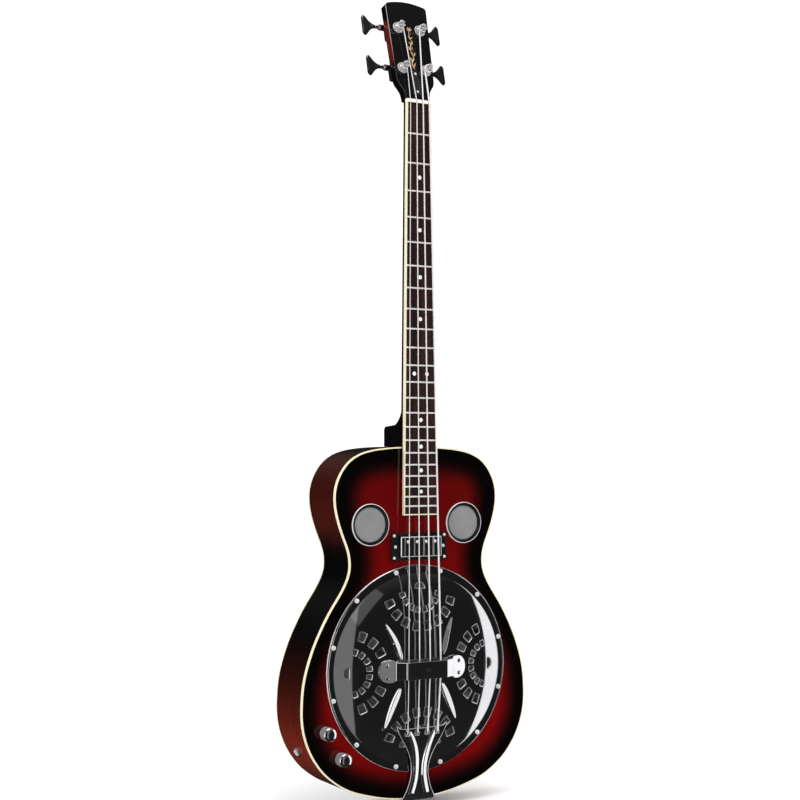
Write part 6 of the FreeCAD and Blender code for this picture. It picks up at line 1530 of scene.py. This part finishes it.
for a in (-52, -22, 22, 52):
    inlay_leaf(P_, 0.2, 119.5 + SH, a, 6.0 if abs(a) > 40 else 7.4, 1.25)
P_.place("headstock_vine_inlay", GOLD, slot="gold_inlay", replaces=("headstock_inlay",), angle=40)

# string posts keep their slots, worm wheels and collars
for k in range(1, 5):
    refine("string_post_%d" % k, BRIGHT, 0.22, 2, 34, slot="chrome_hardware", smooth=40)
    px, ps = POSTS[k - 1]
    sx = -1 if px < 0 else 1
    yy, zz = ps + 9.0, -21.8
    parts = Parts()
    X = Vector((sx, 0, 0))
    # worm and shaft inside the housing
    o = at(HEAD, 0, yy, zz)
    xs = np.linspace(abs(px) - 8.6, 44.0, 240)
    rad = []
    for x in xs:
        base = 1.884
        rad.append(base)
    centre = [np3(o) + np.array((sx * x * MM, 0, 0)) for x in xs]
    wx = abs(px)

    # one right-hand thread, its crest facing the wheel at the post's own x
    _, tT, tN, tB = transport(np.array(centre))
    to_wheel = -np3(HEAD.to_3x3() @ Vector((0, 1, 0)))
    th_w = math.atan2(float(np.dot(to_wheel, tB[0])), float(np.dot(to_wheel, tN[0])))
    turn = 1.0 if float(np.dot(np.cross(tN[0], tB[0]), tT[0])) > 0 else -1.0
    mid = wx * 1.0

    def worm(s_, th, x0=abs(px) - 8.6, mid=mid, th_w=th_w, turn=turn):
        x = s_ / MM + x0
        away = ((x - mid) / 2.0 - turn * (th - th_w) / (2 * math.pi) + 0.5) % 1.0 - 0.5
        crest = 1.12 * np.clip((0.57 - 2.0 * np.abs(away)) / 0.34, 0, 1)
        return 1.0 + np.where(np.abs(x - mid) < 3.4, crest, 0.0) / 1.884
    v, f = tube(np.array(centre), np.array(rad) * MM, 18, worm)
    parts.add(v, f, 0)
    # turned collar and neck
    v, f = lathe([(0, 36.9 * MM), (3.7 * MM, 36.9 * MM), (3.95 * MM, 37.2 * MM), (3.95 * MM, 38.2 * MM), (3.6 * MM, 38.55 * MM), (2.9 * MM, 38.8 * MM), (2.65 * MM, 40.2 * MM), (2.5 * MM, 42.6 * MM), (2.75 * MM, 43.4 * MM), (2.75 * MM, 44.1 * MM), (2.3 * MM, 44.6 * MM), (0, 44.8 * MM)], o, X, 40)
    parts.add(v, f, 1)
    # blade: lofted rounded sections from the neck to the scalloped end
    secs = []
    ks = [(43.2, 2.1, 2.0), (44.6, 2.5, 2.05), (46.6, 2.95, 1.95), (49.0, 4.0, 1.8), (51.5, 5.6, 1.7), (54.0, 7.7, 1.65), (56.2, 10.6, 1.6), (58.2, 13.2, 1.6), (59.8, 15.0, 1.65), (61.2, 16.1, 1.7), (62.4, 16.4, 1.7), (63.6, 15.9, 1.65), (64.7, 14.9, 1.5), (65.6, 13.8, 1.25), (66.2, 12.9, 0.9), (66.5, 12.0, 0.45)]
    m = 28
    hq = Vector(HOUT)
    yv = HEAD.to_3x3() @ Vector((0, 1, 0))
    for x, hb, ht in ks:
        ring = []
        for q in range(m):
            a = 2 * math.pi * q / m
            ca, sa = math.cos(a), math.sin(a)
            e = 0.62
            yy_ = hb * math.copysign(abs(ca) ** e, ca)
            tt_ = ht * math.copysign(abs(sa) ** e, sa)
            # waist of the blade is thinner, its rim a little proud
            u = abs(yy_) / max(hb, 1e-6)
            if hb > 5:
                tt_ *= 0.72 + 0.28 * u ** 2.5 if u < 0.93 else 1.0
            back = 0.0
            if x > 60:
                back = -(0.5 * (1 - u ** 2)) * (x - 60) / 6.4
            ring.append(o + X * ((x + back) * MM) + yv * (yy_ * MM) + hq * (tt_ * MM))
        secs.append(ring)
    verts = [p for ring in secs for p in ring]
    faces = []
    for i in range(len(secs) - 1):
        for q in range(m):
            w = (q + 1) % m
            faces.append((i * m + q, i * m + w, (i + 1) * m + w, (i + 1) * m + q))
    faces.append(tuple(range(m))[::-1])
    faces.append(tuple(range((len(secs) - 1) * m, len(secs) * m)))
    parts.add(verts, faces, 2)
    parts.place("tuner_key_%d_cast" % k, [STEEL, CHROME, KEYS], body="key_%d" % k, slot="chrome_hardware", replaces=("tuner_key_%d" % k,), angle=42)

# ------------------------------------------------------------------ inner pieces keep their shape
for node, mat in {"neck_block": INNER, "end_block": INNER, "front_lining": INNER, "back_lining": INNER, "soundwell": INNER, "resonator_cone": ALU, "spider_bridge": CAST,
                  "cone_tension_screw": STEEL, "control_pots": STEEL, "truss_rod": STEEL}.items():
    o = NODES[node]
    o.data.materials.clear()
    o.data.materials.append(mat)

# ------------------------------------------------------------------ floor, light and camera
lo, hi = [Vector(p) for p in cad_box]
floor_m = Mat("pale_floor")
fv = floor_m.coords()
floor_m.set(Base_Color=floor_m.mix(floor_m.remap(floor_m.noise(fv, 3.0, 3.0), 0.3, 0.7, 0.0, 1.0), (0.96, 0.96, 0.96), (0.94, 0.94, 0.94)), Roughness=0.9)
me = bpy.data.meshes.new("floor")
S = 9.0
me.from_pydata([(-S, -S, lo.z), (S, -S, lo.z), (S, S, lo.z), (-S, S, lo.z)], [], [(0, 1, 2, 3)])
me.materials.append(floor_m.m)
floor = bpy.data.objects.new("floor", me)
scene.collection.objects.link(floor)
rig.stage(floor)
floor.visible_glossy = False

world = bpy.data.worlds.new("studio")
scene.world = world
world.use_nodes = True
wt = world.node_tree
wt.nodes.clear()
wout = wt.nodes.new("ShaderNodeOutputWorld")
bg_pale = wt.nodes.new("ShaderNodeBackground")
bg_pale.inputs[0].default_value = (1.0, 1.0, 1.0, 1)
bg_pale.inputs[1].default_value = 1.16
bg_dark = wt.nodes.new("ShaderNodeBackground")
lp = wt.nodes.new("ShaderNodeLightPath")
mixw = wt.nodes.new("ShaderNodeMixShader")
wt.links.new(lp.outputs["Is Glossy Ray"], mixw.inputs[0])
wt.links.new(bg_pale.outputs[0], mixw.inputs[1])
wt.links.new(bg_dark.outputs[0], mixw.inputs[2])
wt.links.new(mixw.outputs[0], wout.inputs[0])
tc = wt.nodes.new("ShaderNodeTexCoord")
sep = wt.nodes.new("ShaderNodeSeparateXYZ")
wt.links.new(tc.outputs["Generated"], sep.inputs[0])
rmp = wt.nodes.new("ShaderNodeValToRGB")
mr = wt.nodes.new("ShaderNodeMapRange")
wt.links.new(sep.outputs[2], mr.inputs[0])
for i, x in enumerate((-1.0, 1.0, 0.0, 1.0), start=1):
    mr.inputs[i].default_value = x
wt.links.new(mr.outputs[0], rmp.inputs[0])
stops = [(0.0, 0.028), (0.35, 0.016), (0.5, 0.014), (0.62, 0.016), (0.80, 0.10), (1.0, 0.50)]
while len(rmp.color_ramp.elements) < len(stops):
    rmp.color_ramp.elements.new(0.5)
for e, (p, c) in zip(rmp.color_ramp.elements, stops):
    e.position = p
    e.color = (c, c * 0.99, c, 1)
wt.links.new(rmp.outputs[0], bg_dark.inputs[0])
bg_dark.inputs[1].default_value = 1.0
world.cycles.sampling_method = "NONE"


def soft_box(name, az, el, dist, w, h, power, target=(0, 0, 0.35), glossy=True, roll=0.0):
    a, e = math.radians(az), math.radians(el)
    t = Vector(target)
    d = Vector((math.sin(a) * math.cos(e), -math.cos(a) * math.cos(e), math.sin(e)))
    L = bpy.data.lights.new(name, "AREA")
    L.shape = "RECTANGLE"
    L.size, L.size_y = w, h
    L.energy = power
    ob = bpy.data.objects.new(name, L)
    ob.location = t + d * dist
    ob.rotation_mode = "QUATERNION"
    ob.rotation_quaternion = Quaternion(d, math.radians(roll)) @ d.to_track_quat("Z", "Y")
    ob.visible_glossy = glossy
    scene.collection.objects.link(ob)
    return ob


soft_box("wall_right", 83.2, -0.5, 5.0, 5.8, 6.6, 150, (0.08, -0.05, 0.19), roll=4.0)
soft_box("wall_left", -2.5, -3.5, 5.0, 1.95, 6.4, 8.2, (-0.10, -0.05, 0.19))
soft_box("wall_left_top", 9.5, 15.0, 5.0, 1.15, 1.15, 0.42, (-0.10, -0.05, 0.19), roll=45.0)
soft_box("front_left", -67, -2, 3.6, 1.2, 3.6, 26, (0, 0, 0.4))
soft_box("side_left", -115, 6, 3.4, 1.5, 3.4, 12, (0, 0, 0.3))
soft_box("top_front", -10, 66, 3.4, 2.0, 1.2, 30, (0, 0, 0.3))

CAM = (-1.13253835, -1.94676465, 0.50071209)
ROWS = ((0.86555749, -0.50080824, 0.00116063), (-0.01642987, -0.02607968, 0.99952484), (-0.50054001, -0.86516528, -0.03080168))
cam = bpy.data.objects.new("camera", bpy.data.cameras.new("camera"))
scene.collection.objects.link(cam)
M = Matrix.Identity(4)
for j in range(3):
    for i in range(3):
        M[i][j] = ROWS[j][i]
    M[j][3] = CAM[j]
cam.matrix_world = M
cam.data.sensor_width = 36.0
cam.data.lens = 1532.22527 * 36.0 / 800.0
cam.data.shift_y = 2.11795 / 800.0
cam.data.clip_end = 60.0
scene.camera = cam
scene.view_settings.view_transform = "Standard"
scene.view_settings.look = "None"

bpy.context.view_layer.update()
with open("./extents.json", "w") as fh:
    json.dump({"cad_box": cad_box, "visual_box": plain(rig.bounds())}, fh)
